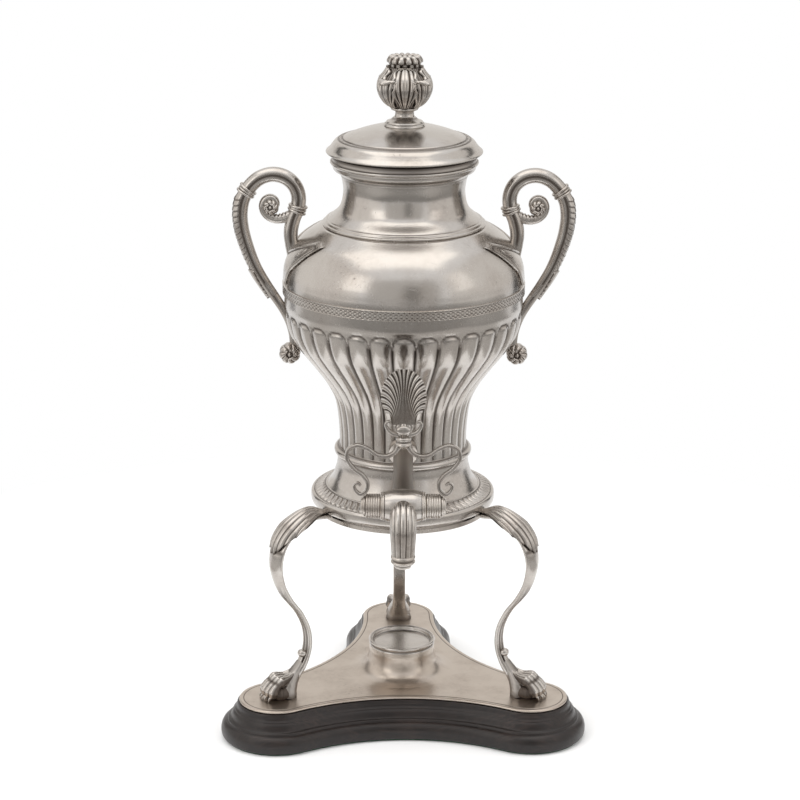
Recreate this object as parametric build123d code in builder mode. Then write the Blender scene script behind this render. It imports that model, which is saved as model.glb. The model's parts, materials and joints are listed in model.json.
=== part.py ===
from build123d import *
from math import cos, radians, sin
import os

os.makedirs("parts", exist_ok=True)

# Hot-water urn on a three-legged stand, in millimetres.
# Z is up, the tap faces -Y, and the origin is the middle of the plinth's underside.

# Three-lobed base
lobe_centre_r = 108.3
plate_lobe_r = 28.0
plate_waist_r = 56.0
stand_turn = 1.3
felt_t = 1.0
torus_overhang = 13.8
torus_h = 13.0
torus_top_round = 7.0
torus_foot_round = 3.0
step_overhang = 8.4
step_h = 2.0
cove_foot_overhang = 7.4
cove_top_overhang = 1.2
cove_h = 12.0
cove_steps = 4
plate_t = 2.0
plate_edge_round = 0.8

# Boss in the middle of the plate, with the seat for a spirit lamp
boss_cove_r = 13.0
boss_wall_foot_r = 27.0
boss_wall_top_r = 24.4
boss_wall_h = 7.0
boss_sheet_t = 1.6
seat_bore_r = 21.9
seat_floor_t = 1.5
seat_depth = 3.6
seat_edge_round = 0.8
screw_hole_gap = 0.2

# Legs, their fluted knees and lion paws
strap_t = 3.0
strap_top_w = 12.0
strap_knee_w = 14.0
strap_mid_w = 9.0
strap_foot_w = 11.0
leg_root_inset = 10.0
leg_bend_clearance = 0.8
leg_stations = 26
knee_root_w = 20.0
knee_w = 31.0
knee_lower_w = 26.0
knee_end_w = 10.0
knee_crown = 3.4
knee_rib_count = 7
knee_rib_h = 1.1
knee_rib_facets = 4
knee_edge_h = 0.6
knee_first = 2
knee_last = 12
knee_foot_crown = 0.4
paw_centre_r = 107.5
paw_half_length = 17.0
paw_r = 9.8
paw_pad_rise = 4.6
paw_heel_gap = 10.5
paw_top_h = 10.0
toe_r = 4.2
toe_half_length = 7.0
toe_pitch = 5.2
toe_count = 4
toe_reach = 11.0
toe_splay = 0.45
toe_rise = 3.4
paw_screw_r = 1.6
paw_screw_grip = 9.0
paw_screw_head_r = 3.6
paw_screw_head_h = 2.4
rivet_r = 1.6
rivet_head_r = 3.0
rivet_head_h = 1.2
stand_ring_outer_r = 64.0
stand_ring_w = 12.0
stand_ring_t = 3.0

# Foot of the vessel
flange_r = 68.2
flange_inner_r = 50.0
flange_bottom_z = 167.5
flange_edge_h = 8.0
flange_round = 1.7
foot_cone_r = 56.0
foot_cone_foot_z = 180.0
foot_neck_r = 48.5
foot_cone_t = 2.0
ring_bottom_z = 203.8
ring_h = 6.4
ring_bead_r = 50.6
ring_top_r = 47.5
ring_inner_r = 44.5
floor_t = 2.0
solder_gap = 0.05
foot_cone_mid_r = 50.5
foot_cone_mid_z = 190.0

# Vessel
wall_t = 1.6
lobe_count = 32
lobe_depth = 2.6
lobe_foot_r = 47.0
lobe_end_share = 0.1
lobe_top_z = 314.0
lobe_end_inset = 0.9
lobe_end_step = 0.3
waist_joint_z = 264.0
joint_z = 331.0
belly_r = 87.1
belly_half_h = 7.0
shoulder_curve = [(0.9, 8.5), (4.5, 18.0), (11.6, 28.0)]
shoulder_ledge_w = 4.6
band_h = 7.8
band_t = 1.3
band_lip_t = 0.8
band_slope_h = 1.0
shoulder_ring_z = 377.2
shoulder_ring_h = 4.2
shoulder_ring_inner_r = 55.5
shoulder_ring_t = 3.6
shoulder_bevel = 1.4
shoulder_bead_z = 0.8
shoulder_bead_h = 1.0
shoulder_step_w = 1.8
shoulder_step_z = 2.6
shoulder_lip_w = 0.6
neck_flare_r = 47.0
neck_flare_z = 389.4
neck_r = 44.0
neck_z = 402.0
neck_top_r = 45.5
neck_top_z = 413.5
rim_z = 428.5
rim_r = 53.8
rim_edge_h = 3.4
collar_root_r = 46.5
collar_fillet_r = 46.9
collar_fillet_h = 2.0
collar_swell_r = 51.2
collar_swell_h = 4.6
collar_top_r = 52.0
collar_top_h = 8.0

# Lid and finial
lid_gap = 0.2
lid_r = 56.5
lid_rim_h = 2.0
lid_swell_r = 53.5
lid_swell_z = 436.0
lid_brow_r = 47.7
lid_brow_drop = 1.2
lid_groove_r = 44.1
lid_groove_z = 440.6
lid_groove_w = 0.5
lid_groove_depth = 1.0
lid_dome_r = 30.0
lid_dome_z = 446.0
lid_crown_z = 449.0
lid_crown_r = 16.0
lid_cove_z = 434.6
lid_t = 1.6
bezel_gap = 0.4
bezel_h = 9.0
bezel_t = 1.4
finial_foot_r = 14.8
finial_bevel = 0.5
finial_foot_h = 1.8
finial_round_r = 13.2
finial_round_h = 3.7
finial_step_r = 10.2
finial_step_h = 4.4
finial_cone_r = 7.2
finial_cone_h = 6.8
finial_waist_r = 6.8
finial_waist_h = 9.0
finial_cup_r = 7.6
finial_cup_h = 11.6
finial_seat_r = 9.2
knop_seat_rise = 13.8
knop_rises = [(0, 10.8), (3.4, 15.0), (9.0, 18.9), (15.5, 20.4), (21.0, 18.6), (25.0, 15.4)]
knop_top_r = 11.6
knop_lobes = 12
knop_lobe_depth = 1.6
knop_h = 28.7
rosette_r = 12.4
rosette_tip_r = 3.0
rosette_petals = 8
rosette_petal_depth = 0.1
rosette_steps = 4
rosette_h = 8.5
finial_screw_r = 2.0
finial_screw_grip = 9.2
finial_nut_w = 9.0
finial_nut_h = 4.0

# Handles
handle_r = 5.4
handle_end_r = 2.8
handle_tip_r = 2.4
handle_stations = 30
scroll_r = 3.6
scroll_tip_r = 3.0
scroll_stations = 10
scroll_rosette_r = 7.6
scroll_rosette_outset = 9.1
scroll_rosette_z = 389.6
curl_rosette_r = 8.0
curl_rosette_outset = -3.7
curl_rosette_z = 279.5
rosette_w = 9.6
rosette_round = 1.6
bracelet_r = 6.5
bracelet_w = 3.4
bracelet_round = 0.9
bracelet_stations = (0.168, 0.435)

# Tap
tap_y = -110.0
tap_z = 199.5
pipe_root_y = -38.0
pipe_root_z = 222.0
pipe_r = 7.2
pipe_end_r = 7.8
water_bore_r = 3.5
tap_pad_r = 10.4
tap_pad_y = -50.5
pipe_nut_w = 18.0
pipe_nut_t = 3.5
washer_r = 9.6
barrel_r = 12.5
barrel_end_r = 10.4
barrel_half_l = 13.0
barrel_ring_r = 10.2
barrel_ring_w = 3.0
barrel_ring_round = 1.2
spout_r = 9.4
spout_foot_r = 8.3
spout_reach = 6.0
spout_bend_r = 13.0
spout_bend_steps = 6
spout_foot_z = 170.0
spout_reeds = 12
spout_reed_depth = 0.7
spout_collar_r = 8.7
spout_collar_h = 6.0
spout_collar_round = 1.3
spout_lip_r = 7.2
nozzle_r = 5.8
nozzle_h = 3.0

# Key: a yoke on the two ends of the tap's cross plug
plug_r = 6.0
plug_gap = 0.05
plug_side_gap = 0.2
plug_half_l = 26.5
sleeve_r = 8.8
cap_r = 7.4
cap_w = 3.6
arm_t = 2.7
arm_w = 4.2
arm_stations = 40
arm_rises = [
    (5.2, 40.7),
    (10.6, 37.1),
    (17.5, 37.5),
    (25.3, 42.5),
    (32.3, 44.7),
    (38.0, 41.9),
    (39.6, 36.0),
    (35.1, 28.1),
    (28.2, 22.4),
    (25.0, 16.8),
    (26.0, 11.3),
]
arm_curl_end = [(33.6, 11.7), (34.7, 15.1)]
key_collar_rise = 45.0
key_collar_r = 5.6
key_collar_h = 6.5
key_collar_round = 1.0
calyx_h = 10.0
calyx_rises = [(0, 4.2, 3.4), (5.5, 6.8, 4.6), (calyx_h, 5.2, 3.2)]
calyx_leaf_t = 2.0
calyx_leaf_under = [(2.0, 1.5), (8.4, 4.0), (13.0, 10.4)]
calyx_leaf_over = [(13.0, 10.4), (7.6, 8.4), (2.0, 9.4)]
palmette_h = 39.5
palmette_stem_w = 6.0
palmette_half_w = 16.0
palmette_t = 2.6
palmette_ribs = 13
palmette_rib_lean = 12.5
palmette_reach = [(0, 0.95), (25, 0.79), (50, 0.51), (75, 0.33)]
palmette_rib_h = 1.6
palmette_rib_foot = 1.2
palmette_rib_root_w = 0.6
palmette_rib_tip = 0.055

plinth_top_z = felt_t + torus_h + step_h + cove_h
plate_top_z = plinth_top_z + plate_t
boss_top_z = plate_top_z + boss_cove_r + boss_wall_h
ring_top_z = ring_bottom_z + ring_h
strap_z = flange_bottom_z - strap_t / 2
inner_neck_r = neck_top_r - wall_t
lid_z = rim_z + lid_gap
leg_inner_r = stand_ring_outer_r - leg_root_inset
leg_bend_r = flange_r + leg_bend_clearance
stand_ring_inner_r = stand_ring_outer_r - stand_ring_w
knop_z = lid_crown_z + knop_seat_rise
rosette_z = knop_z + knop_h
finial_top_z = rosette_z + rosette_h
finial_screw_top_z = knop_z + finial_screw_grip
sides = {"left": 210 + stand_turn, "right": 330 + stand_turn, "back": 90 + stand_turn}


def polar(radius, angle):
    """Point at a radius and an angle in degrees, in the plane of a sketch."""
    return (radius * cos(radians(angle)), radius * sin(radians(angle)))


def between(u, stops):
    """Straight-line value at u between (place, value) stops in rising order."""
    for (u0, v0), (u1, v1) in zip(stops, stops[1:]):
        if u <= u1:
            return v0 + (v1 - v0) * max(0.0, (u - u0) / (u1 - u0))
    return stops[-1][1]


def radial_plane(angle):
    """Upright plane through the axis: x runs outward at the angle, y runs up."""
    a = radians(angle)
    return Plane(origin=(0, 0, 0), x_dir=(cos(a), sin(a), 0), z_dir=(sin(a), -cos(a), 0))


def three_lobes(outset):
    """Base outline: three round lobes joined by hollow sides, moved outward by outset."""
    lobe_r = plate_lobe_r + outset
    waist_r = plate_waist_r + outset
    hollow_r = (lobe_centre_r**2 + waist_r**2 - lobe_centre_r * waist_r - lobe_r**2) / (
        lobe_centre_r + 2 * lobe_r - 2 * waist_r
    )
    with BuildSketch() as outline:
        with BuildLine():
            for angle in sides.values():
                lobe = Vector(*polar(lobe_centre_r, angle))
                before = Vector(*polar(waist_r + hollow_r, angle - 60))
                after = Vector(*polar(waist_r + hollow_r, angle + 60))
                following = Vector(*polar(lobe_centre_r, angle + 120))
                first = lobe + (before - lobe).normalized() * lobe_r
                last = lobe + (after - lobe).normalized() * lobe_r
                onward = following + (after - following).normalized() * lobe_r
                ThreePointArc(first, polar(lobe_centre_r + lobe_r, angle), last)
                ThreePointArc(last, polar(waist_r, angle + 60), onward)
        make_face()
    return outline.sketch


def lobed_disc(crest_r, depth, lobes):
    """Round outline of convex lobes, with a valley on the X axis."""
    step = 360 / lobes
    with BuildSketch() as outline:
        with BuildLine():
            for k in range(lobes):
                start = polar(crest_r - depth, k * step)
                crest = polar(crest_r, (k + 0.5) * step)
                end = polar(crest_r - depth, (k + 1) * step)
                ThreePointArc(start, crest, end)
        make_face()
    return outline.sketch


def inward(points, depth):
    """Points of a curve, each moved by depth to the left of the curve's direction."""
    moved = []
    for k, (x, z) in enumerate(points):
        before = points[max(k - 1, 0)]
        after = points[min(k + 1, len(points) - 1)]
        run = (Vector(*after) - Vector(*before)).normalized()
        moved.append((x - run.Y * depth, z + run.X * depth))
    return moved


def turned(*points):
    """Solid turned about Z from a closed outline of (radius, height) points."""
    with BuildPart() as solid:
        with BuildSketch(Plane.XZ):
            with BuildLine():
                Polyline(*points, close=True)
            make_face()
        revolve(axis=Axis.Z)
    return solid.part


def strap(plane, points, width, thickness, stations):
    """Flat bar along a curve in a plane; width is a function of the place from 0 to 1."""
    with BuildLine(plane) as route:
        Spline(*points)
    with BuildPart() as bar:
        for k in range(stations + 1):
            u = k / stations
            across = Plane(route.line @ u, x_dir=-plane.z_dir, z_dir=route.line % u)
            with BuildSketch(across):
                Rectangle(width(u), thickness)
        loft(ruled=True)
    return bar.part


def tapered_rod(plane, points, radius, stations):
    """Round bar along a curve in a plane; radius is a function of the place from 0 to 1."""
    with BuildLine(plane) as route:
        Spline(*points)
    with BuildPart() as rod:
        for k in range(stations + 1):
            u = k / stations
            across = Plane(route.line @ u, x_dir=-plane.z_dir, z_dir=route.line % u)
            with BuildSketch(across):
                Circle(radius(u))
        loft(ruled=True)
    return rod.part


def rod_between(start, end, radius):
    """Round bar from one point to another."""
    axis = Vector(*end) - Vector(*start)
    with BuildPart() as rod:
        with BuildSketch(Plane(start, z_dir=axis)):
            Circle(radius)
        extrude(amount=axis.length)
    return rod.part


# Plinth of black wood on a felt pad
with BuildPart() as base_felt:
    with BuildSketch():
        add(three_lobes(torus_overhang - torus_foot_round))
    extrude(amount=felt_t)

screw_places = [polar(paw_centre_r, angle) for angle in sides.values()]

with BuildPart() as plinth:
    with BuildSketch(Plane.XY.offset(felt_t)):
        add(three_lobes(torus_overhang))
    extrude(amount=torus_h)
    fillet(plinth.edges().group_by(Axis.Z)[-1], torus_top_round)
    fillet(plinth.edges().group_by(Axis.Z)[0], torus_foot_round)
    with BuildSketch(Plane.XY.offset(felt_t + torus_h)):
        add(three_lobes(step_overhang))
    extrude(amount=step_h)
    for k in range(cove_steps + 1):
        turn = radians(90 * k / cove_steps)
        rise = cove_h * sin(turn)
        overhang = cove_top_overhang + (cove_foot_overhang - cove_top_overhang) * cos(turn)
        with BuildSketch(Plane.XY.offset(felt_t + torus_h + step_h + rise)):
            add(three_lobes(overhang))
    loft(ruled=True)
    with Locations(*[(x, y, felt_t) for x, y in screw_places]):
        Cylinder(
            paw_screw_r + screw_hole_gap,
            plinth_top_z - felt_t,
            align=(Align.CENTER, Align.CENTER, Align.MIN),
            mode=Mode.SUBTRACT,
        )
        Cylinder(
            paw_screw_head_r + screw_hole_gap,
            paw_screw_head_h,
            align=(Align.CENTER, Align.CENTER, Align.MIN),
            mode=Mode.SUBTRACT,
        )

# Silvered plate with its boss, and the seat ring on the boss
with BuildPart() as base_plate:
    with BuildSketch(Plane.XY.offset(plinth_top_z)):
        add(three_lobes(0))
        Circle(boss_wall_foot_r + boss_cove_r, mode=Mode.SUBTRACT)
    extrude(amount=plate_t)
    rim_edges = base_plate.edges().group_by(Axis.Z)[-1].filter_by(
        lambda edge: edge.center(CenterOf.MASS).length > plate_waist_r
    )
    fillet(rim_edges, plate_edge_round)
    with BuildSketch(Plane.XZ):
        with BuildLine():
            cove_x = boss_wall_foot_r + boss_cove_r
            cove_z = plate_top_z + boss_cove_r
            inner_cove_r = boss_cove_r + boss_sheet_t
            CenterArc((cove_x, cove_z), boss_cove_r, 180, 90)
            Line((cove_x, plate_top_z), (cove_x, plate_top_z - boss_sheet_t))
            CenterArc((cove_x, cove_z), inner_cove_r, 180, 90)
            Polyline(
                (cove_x - inner_cove_r, cove_z),
                (boss_wall_top_r - boss_sheet_t, boss_top_z),
                (boss_wall_top_r, boss_top_z),
                (boss_wall_foot_r, cove_z),
            )
        make_face()
    revolve(axis=Axis.Z)
    with Locations(*[(x, y, plinth_top_z) for x, y in screw_places]):
        Cylinder(
            paw_screw_r + screw_hole_gap,
            plate_t,
            align=(Align.CENTER, Align.CENTER, Align.MIN),
            mode=Mode.SUBTRACT,
        )

with BuildPart() as lamp_seat:
    with BuildSketch(Plane.XY.offset(boss_top_z)):
        Circle(boss_wall_top_r)
    extrude(amount=seat_floor_t + seat_depth)
    with BuildSketch(Plane.XY.offset(boss_top_z + seat_floor_t)):
        Circle(seat_bore_r)
    extrude(amount=seat_depth, mode=Mode.SUBTRACT)
    fillet(lamp_seat.edges().group_by(Axis.Z)[-1], seat_edge_round)

# Moulded flange under the vessel, on which the legs hang
with BuildPart() as foot_flange:
    add(
        turned(
            (flange_inner_r, flange_bottom_z),
            (flange_r, flange_bottom_z),
            (flange_r, flange_bottom_z + flange_edge_h),
            (foot_cone_r, foot_cone_foot_z),
            (flange_inner_r, foot_cone_foot_z),
        )
    )
    fillet(foot_flange.edges().filter_by(GeomType.CIRCLE).group_by(SortBy.RADIUS)[-1], flange_round)

# Ring under the straps that ties the legs to the foot, and its rivets
stand_ring_z = strap_z - strap_t / 2 - stand_ring_t
rivet_places = [
    polar((stand_ring_inner_r + stand_ring_outer_r) / 2, angle) for angle in sides.values()
]

with BuildPart() as stand_ring:
    with BuildSketch(Plane.XY.offset(stand_ring_z)):
        Circle(stand_ring_outer_r)
        Circle(stand_ring_inner_r, mode=Mode.SUBTRACT)
        with Locations(*rivet_places):
            Circle(rivet_r + screw_hole_gap, mode=Mode.SUBTRACT)
    extrude(amount=stand_ring_t)

with BuildPart() as leg_rivets:
    with BuildSketch(Plane.XY.offset(stand_ring_z)):
        with Locations(*rivet_places):
            Circle(rivet_r)
    extrude(amount=stand_ring_t + strap_t)
    with BuildSketch(Plane.XY.offset(stand_ring_z)):
        with Locations(*rivet_places):
            Circle(rivet_head_r)
    extrude(amount=-rivet_head_h)

# Legs: thin straps that bend out over a fluted knee and down into lion paws
leg_points = [
    (leg_inner_r, strap_z),
    ((leg_inner_r + leg_bend_r) / 2, strap_z),
    (leg_bend_r, strap_z),
    (80.0, strap_z + 0.6),
    (90.0, strap_z - 3.5),
    (99.0, strap_z - 10.0),
    (105.5, strap_z - 18.5),
    (108.0, 137.0),
    (105.5, 121.0),
    (98.0, 106.0),
    (88.5, 92.5),
    (82.6, 78.0),
    (82.4, 64.0),
    (87.5, 51.5),
    (paw_centre_r - paw_heel_gap, plate_top_z + paw_top_h),
]


def strap_width(u):
    """Width of a leg's strap from its top, at 0, to its foot, at 1."""
    stops = [(0, strap_top_w), (0.25, strap_knee_w), (0.55, strap_mid_w), (1, strap_foot_w)]
    return between(u, stops)


def knee_width(u):
    """Width of the fluted knee shell over its own length."""
    stops = [(0, knee_root_w), (0.35, knee_w), (0.6, knee_lower_w), (1, knee_end_w)]
    return between(u, stops)


def knee_outline(width, crown):
    """Ribbed top over a flat underside: the cross-section of the knee shell."""
    count = knee_rib_count * knee_rib_facets
    points = []
    for k in range(count + 1):
        x = width * (k / count - 0.5)
        rib = knee_rib_h * abs(sin(radians(180 * k / knee_rib_facets)))
        points.append((x, knee_edge_h + crown * (1 - (2 * x / width) ** 2) + rib))
    with BuildSketch() as outline:
        with BuildLine():
            Polyline(*points, (width / 2, 0), (-width / 2, 0), close=True)
        make_face()
    return outline.sketch


def knee_shell(plane):
    """Shell laid on the outer face of a leg's strap."""
    with BuildLine(plane) as route:
        Spline(*leg_points)
    with BuildPart() as shell:
        for k in range(knee_first, knee_last + 1):
            u = k / leg_stations
            across = Plane(route.line @ u, x_dir=-plane.z_dir, z_dir=route.line % u)
            seat_point = across.origin + across.y_dir * strap_t / 2
            seat = Plane(seat_point, x_dir=across.x_dir, z_dir=across.z_dir)
            along = (k - knee_first) / (knee_last - knee_first)
            with BuildSketch(seat):
                crown = knee_crown * between(along, [(0, 1), (1, knee_foot_crown)])
                add(knee_outline(knee_width(along), crown))
        loft(ruled=True)
    return shell.part


def ball_ended_bar(plane, place, half_length, radius):
    """Bar with ball ends, lying along the plane's X: half a slot, revolved."""
    with BuildPart() as bar:
        with BuildSketch(plane):
            with Locations(place):
                SlotOverall(half_length * 2, radius * 2)
                Rectangle(
                    half_length * 2,
                    radius,
                    align=(Align.CENTER, Align.MAX),
                    mode=Mode.SUBTRACT,
                )
        revolve(axis=Axis(plane.from_local_coords((0, place[1], 0)), plane.x_dir))
    return bar.part


def paw(plane):
    """Lion paw: a rounded pad with its toes, flat underneath."""
    pad_place = (paw_centre_r, plate_top_z + paw_pad_rise)
    with BuildPart() as foot:
        add(ball_ended_bar(plane, pad_place, paw_half_length, paw_r))
        for k in range(toe_count):
            side = (k - (toe_count - 1) / 2) * toe_pitch
            toe_place = (paw_centre_r + toe_reach - abs(side) * toe_splay, plate_top_z + toe_rise)
            add(ball_ended_bar(plane.offset(side), toe_place, toe_half_length, toe_r))
        split(bisect_by=Plane.XY.offset(plate_top_z), keep=Keep.TOP)
    return foot.part


legs = {}
for name, angle in sides.items():
    plane = radial_plane(angle)
    rivet_place = Vector(*polar((stand_ring_inner_r + stand_ring_outer_r) / 2, angle))
    with BuildPart() as leg:
        add(strap(plane, leg_points, strap_width, strap_t, leg_stations))
        add(foot_flange.part, mode=Mode.SUBTRACT)
        add(stand_ring.part, mode=Mode.SUBTRACT)
        with Locations((rivet_place.X, rivet_place.Y, strap_z)):
            Cylinder(rivet_r + screw_hole_gap, strap_t * 2, mode=Mode.SUBTRACT)
    leg.part.label = f"leg_{name}"
    legs[name] = leg.part

    with BuildPart() as knee:
        add(knee_shell(plane))
        add(foot_flange.part, mode=Mode.SUBTRACT)
    knee.part.label = f"knee_shell_{name}"
    export_step(knee.part, f"parts/knee_shell_{name}.step")

    with BuildPart() as paw_piece:
        add(paw(plane))
        add(leg.part, mode=Mode.SUBTRACT)
        with Locations((*polar(paw_centre_r, angle), plate_top_z)):
            Cylinder(
                paw_screw_r,
                paw_screw_grip,
                align=(Align.CENTER, Align.CENTER, Align.MIN),
                mode=Mode.SUBTRACT,
            )
    paw_piece.part.label = f"paw_{name}"
    export_step(paw_piece.part, f"parts/paw_{name}.step")

with BuildPart() as paw_screws:
    with Locations(*[(x, y, felt_t) for x, y in screw_places]):
        Cylinder(
            paw_screw_r,
            plate_top_z + paw_screw_grip - felt_t,
            align=(Align.CENTER, Align.CENTER, Align.MIN),
        )
        Cylinder(
            paw_screw_head_r, paw_screw_head_h, align=(Align.CENTER, Align.CENTER, Align.MIN)
        )

# Foot of the vessel above the flange: a hollow cone and a beaded ring
with BuildPart() as foot_cone:
    with BuildSketch(Plane.XZ):
        with BuildLine():
            outer = Spline(
                (foot_cone_r, foot_cone_foot_z),
                (foot_cone_mid_r, foot_cone_mid_z),
                (foot_neck_r, ring_bottom_z),
            )
            inner = Spline(
                (foot_cone_r - foot_cone_t, foot_cone_foot_z),
                (foot_cone_mid_r - foot_cone_t, foot_cone_mid_z),
                (foot_neck_r - foot_cone_t, ring_bottom_z),
            )
            Line(outer @ 0, inner @ 0)
            Line(outer @ 1, inner @ 1)
        make_face()
    revolve(axis=Axis.Z)

with BuildPart() as lower_ring:
    with BuildSketch(Plane.XZ):
        with BuildLine():
            Polyline(
                (foot_neck_r, ring_bottom_z),
                (ring_inner_r, ring_bottom_z),
                (ring_inner_r, ring_top_z),
                (ring_top_r, ring_top_z),
            )
            ThreePointArc(
                (ring_top_r, ring_top_z),
                (ring_bead_r, ring_bottom_z + ring_h / 2),
                (foot_neck_r, ring_bottom_z),
            )
        make_face()
    revolve(axis=Axis.Z)

with BuildPart() as vessel_floor:
    with BuildSketch(Plane.XY.offset(ring_bottom_z)):
        Circle(ring_inner_r - solder_gap)
    extrude(amount=floor_t)

# Vessel: height, share of the swell from foot to belly, and share of the full lobe depth,
# up the gadrooned lower half
gadroon_swells = [
    (ring_top_z, 0.0, 0.4),
    (217.0, 0.0, 0.6),
    (232.0, 0.022, 0.7),
    (247.0, 0.09, 0.8),
    (258.0, 0.22, 0.9),
    (271.0, 0.449, 1.0),
    (284.0, 0.703, 1.0),
    (292.0, 0.843, 1.0),
    (300.0, 0.928, 1.0),
    (309.0, 0.968, 0.8),
]
gadroon_profile = [
    (z, lobe_foot_r + swell * (belly_r - lobe_foot_r), share) for z, swell, share in gadroon_swells
]
gadroon_profile.append((lobe_top_z, belly_r - lobe_end_inset, lobe_end_share))
crest_line = [(crest_r, z) for z, crest_r, _ in gadroon_profile]
valley_line = [(crest_r - share * lobe_depth, z) for z, crest_r, share in gadroon_profile]
belly_foot = (belly_r, joint_z - belly_half_h)
belly_top = (belly_r, joint_z + belly_half_h)
ledge_z = shoulder_ring_z
shoulder_line = [
    belly_top,
    *[(belly_r - inset, belly_top[1] + rise) for inset, rise in shoulder_curve],
    (shoulder_ring_inner_r + shoulder_ledge_w, ledge_z),
]
shoulder_tangents = [(0, 1), (-1, 0.45)]
neck_line = [
    (shoulder_ring_inner_r, ledge_z + shoulder_ring_h),
    (neck_flare_r, neck_flare_z),
    (neck_r, neck_z),
    (neck_top_r, neck_top_z),
]

with BuildPart() as crest_envelope:
    with BuildSketch(Plane.XZ):
        with BuildLine():
            Polyline(*crest_line, belly_foot, belly_top)
            Spline(*shoulder_line, tangents=shoulder_tangents)
            Polyline(shoulder_line[-1], (0, ledge_z), (0, ring_top_z), crest_line[0])
        make_face()
    revolve(axis=Axis.Z)

shoulder_inner_line = inward(shoulder_line, wall_t)
neck_inner_line = inward(neck_line, wall_t)[:-1] + [(inner_neck_r, neck_top_z)]

with BuildPart() as vessel_room:
    with BuildSketch(Plane.XZ):
        with BuildLine():
            Polyline(
                *[(r - wall_t, z) for r, z in valley_line],
                (belly_foot[0] - wall_t, belly_foot[1]),
                shoulder_inner_line[0],
            )
            Spline(*shoulder_inner_line, tangents=shoulder_tangents)
            Polyline(
                shoulder_inner_line[-1],
                (shoulder_ring_inner_r - wall_t, ledge_z - wall_t),
                neck_inner_line[0],
            )
            Spline(*neck_inner_line)
            Polyline(
                neck_inner_line[-1],
                (inner_neck_r, rim_z),
                (0, rim_z),
                (0, ring_top_z),
                (valley_line[0][0] - wall_t, ring_top_z),
            )
        make_face()
    revolve(axis=Axis.Z)

pipe_root = (0, pipe_root_y, pipe_root_z)
pipe_end = (0, tap_y, tap_z)
pipe_axis = (Vector(*pipe_end) - Vector(*pipe_root)).normalized()

with BuildPart() as gadrooned_shell:
    for z, crest_r, share in gadroon_profile:
        with BuildSketch(Plane.XY.offset(z)):
            add(lobed_disc(crest_r, share * lobe_depth, lobe_count))
    loft(ruled=True)
    with BuildSketch(Plane.XZ):
        with BuildLine():
            smooth_foot = (valley_line[-1][0] - lobe_end_step, lobe_top_z)
            Polyline(
                (0, lobe_top_z), smooth_foot, belly_foot, (belly_r, joint_z), (0, joint_z), close=True
            )
        make_face()
    revolve(axis=Axis.Z)
    add(vessel_room.part, mode=Mode.SUBTRACT)
    add(rod_between(pipe_root, pipe_end, pipe_r + solder_gap), mode=Mode.SUBTRACT)

with BuildPart() as lower_body:
    add(gadrooned_shell.part)
    split(bisect_by=Plane.XY.offset(waist_joint_z), keep=Keep.TOP)

with BuildPart() as vessel_waist:
    add(gadrooned_shell.part)
    split(bisect_by=Plane.XY.offset(waist_joint_z), keep=Keep.BOTTOM)

with BuildPart() as upper_body:
    with BuildSketch(Plane.XZ):
        with BuildLine():
            Polyline((0, joint_z), (belly_r, joint_z), belly_top)
            Spline(*shoulder_line, tangents=shoulder_tangents)
            Polyline(shoulder_line[-1], (0, ledge_z), (0, joint_z))
        make_face()
    revolve(axis=Axis.Z)
    add(vessel_room.part, mode=Mode.SUBTRACT)

with BuildPart() as neck:
    with BuildSketch(Plane.XZ):
        with BuildLine():
            Polyline((0, ledge_z), (shoulder_ring_inner_r, ledge_z), neck_line[0])
            Spline(*neck_line)
            Polyline(neck_line[-1], (neck_top_r, rim_z), (0, rim_z), (0, ledge_z))
        make_face()
    revolve(axis=Axis.Z)
    add(vessel_room.part, mode=Mode.SUBTRACT)

with BuildPart() as waist_band:
    add(
        turned(
            (belly_r, joint_z - band_h / 2),
            (belly_r + band_lip_t, joint_z - band_h / 2),
            (belly_r + band_t, joint_z - band_h / 2 + band_slope_h),
            (belly_r + band_t, joint_z + band_h / 2 - band_slope_h),
            (belly_r + band_lip_t, joint_z + band_h / 2),
            (belly_r, joint_z + band_h / 2),
        )
    )

with BuildPart() as shoulder_ring:
    ring_outer_r = shoulder_ring_inner_r + shoulder_ring_t
    add(
        turned(
            (shoulder_ring_inner_r, ledge_z),
            (ring_outer_r - shoulder_bevel, ledge_z),
            (ring_outer_r, ledge_z + shoulder_bead_z),
            (ring_outer_r, ledge_z + shoulder_bead_z + shoulder_bead_h),
            (ring_outer_r - shoulder_step_w, ledge_z + shoulder_step_z),
            (shoulder_ring_inner_r + shoulder_lip_w, ledge_z + shoulder_ring_h),
            (shoulder_ring_inner_r, ledge_z + shoulder_ring_h),
        )
    )

with BuildPart() as rim_collar:
    with BuildSketch(Plane.XZ):
        with BuildLine():
            fillet_end = (collar_fillet_r, neck_top_z + collar_fillet_h)
            swell_end = (collar_top_r, neck_top_z + collar_top_h)
            Polyline(
                (neck_top_r, rim_z), (neck_top_r, neck_top_z), (collar_root_r, neck_top_z), fillet_end
            )
            ThreePointArc(fillet_end, (collar_swell_r, neck_top_z + collar_swell_h), swell_end)
            Polyline(swell_end, (rim_r, rim_z - rim_edge_h), (rim_r, rim_z), (neck_top_r, rim_z))
        make_face()
    revolve(axis=Axis.Z)

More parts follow.
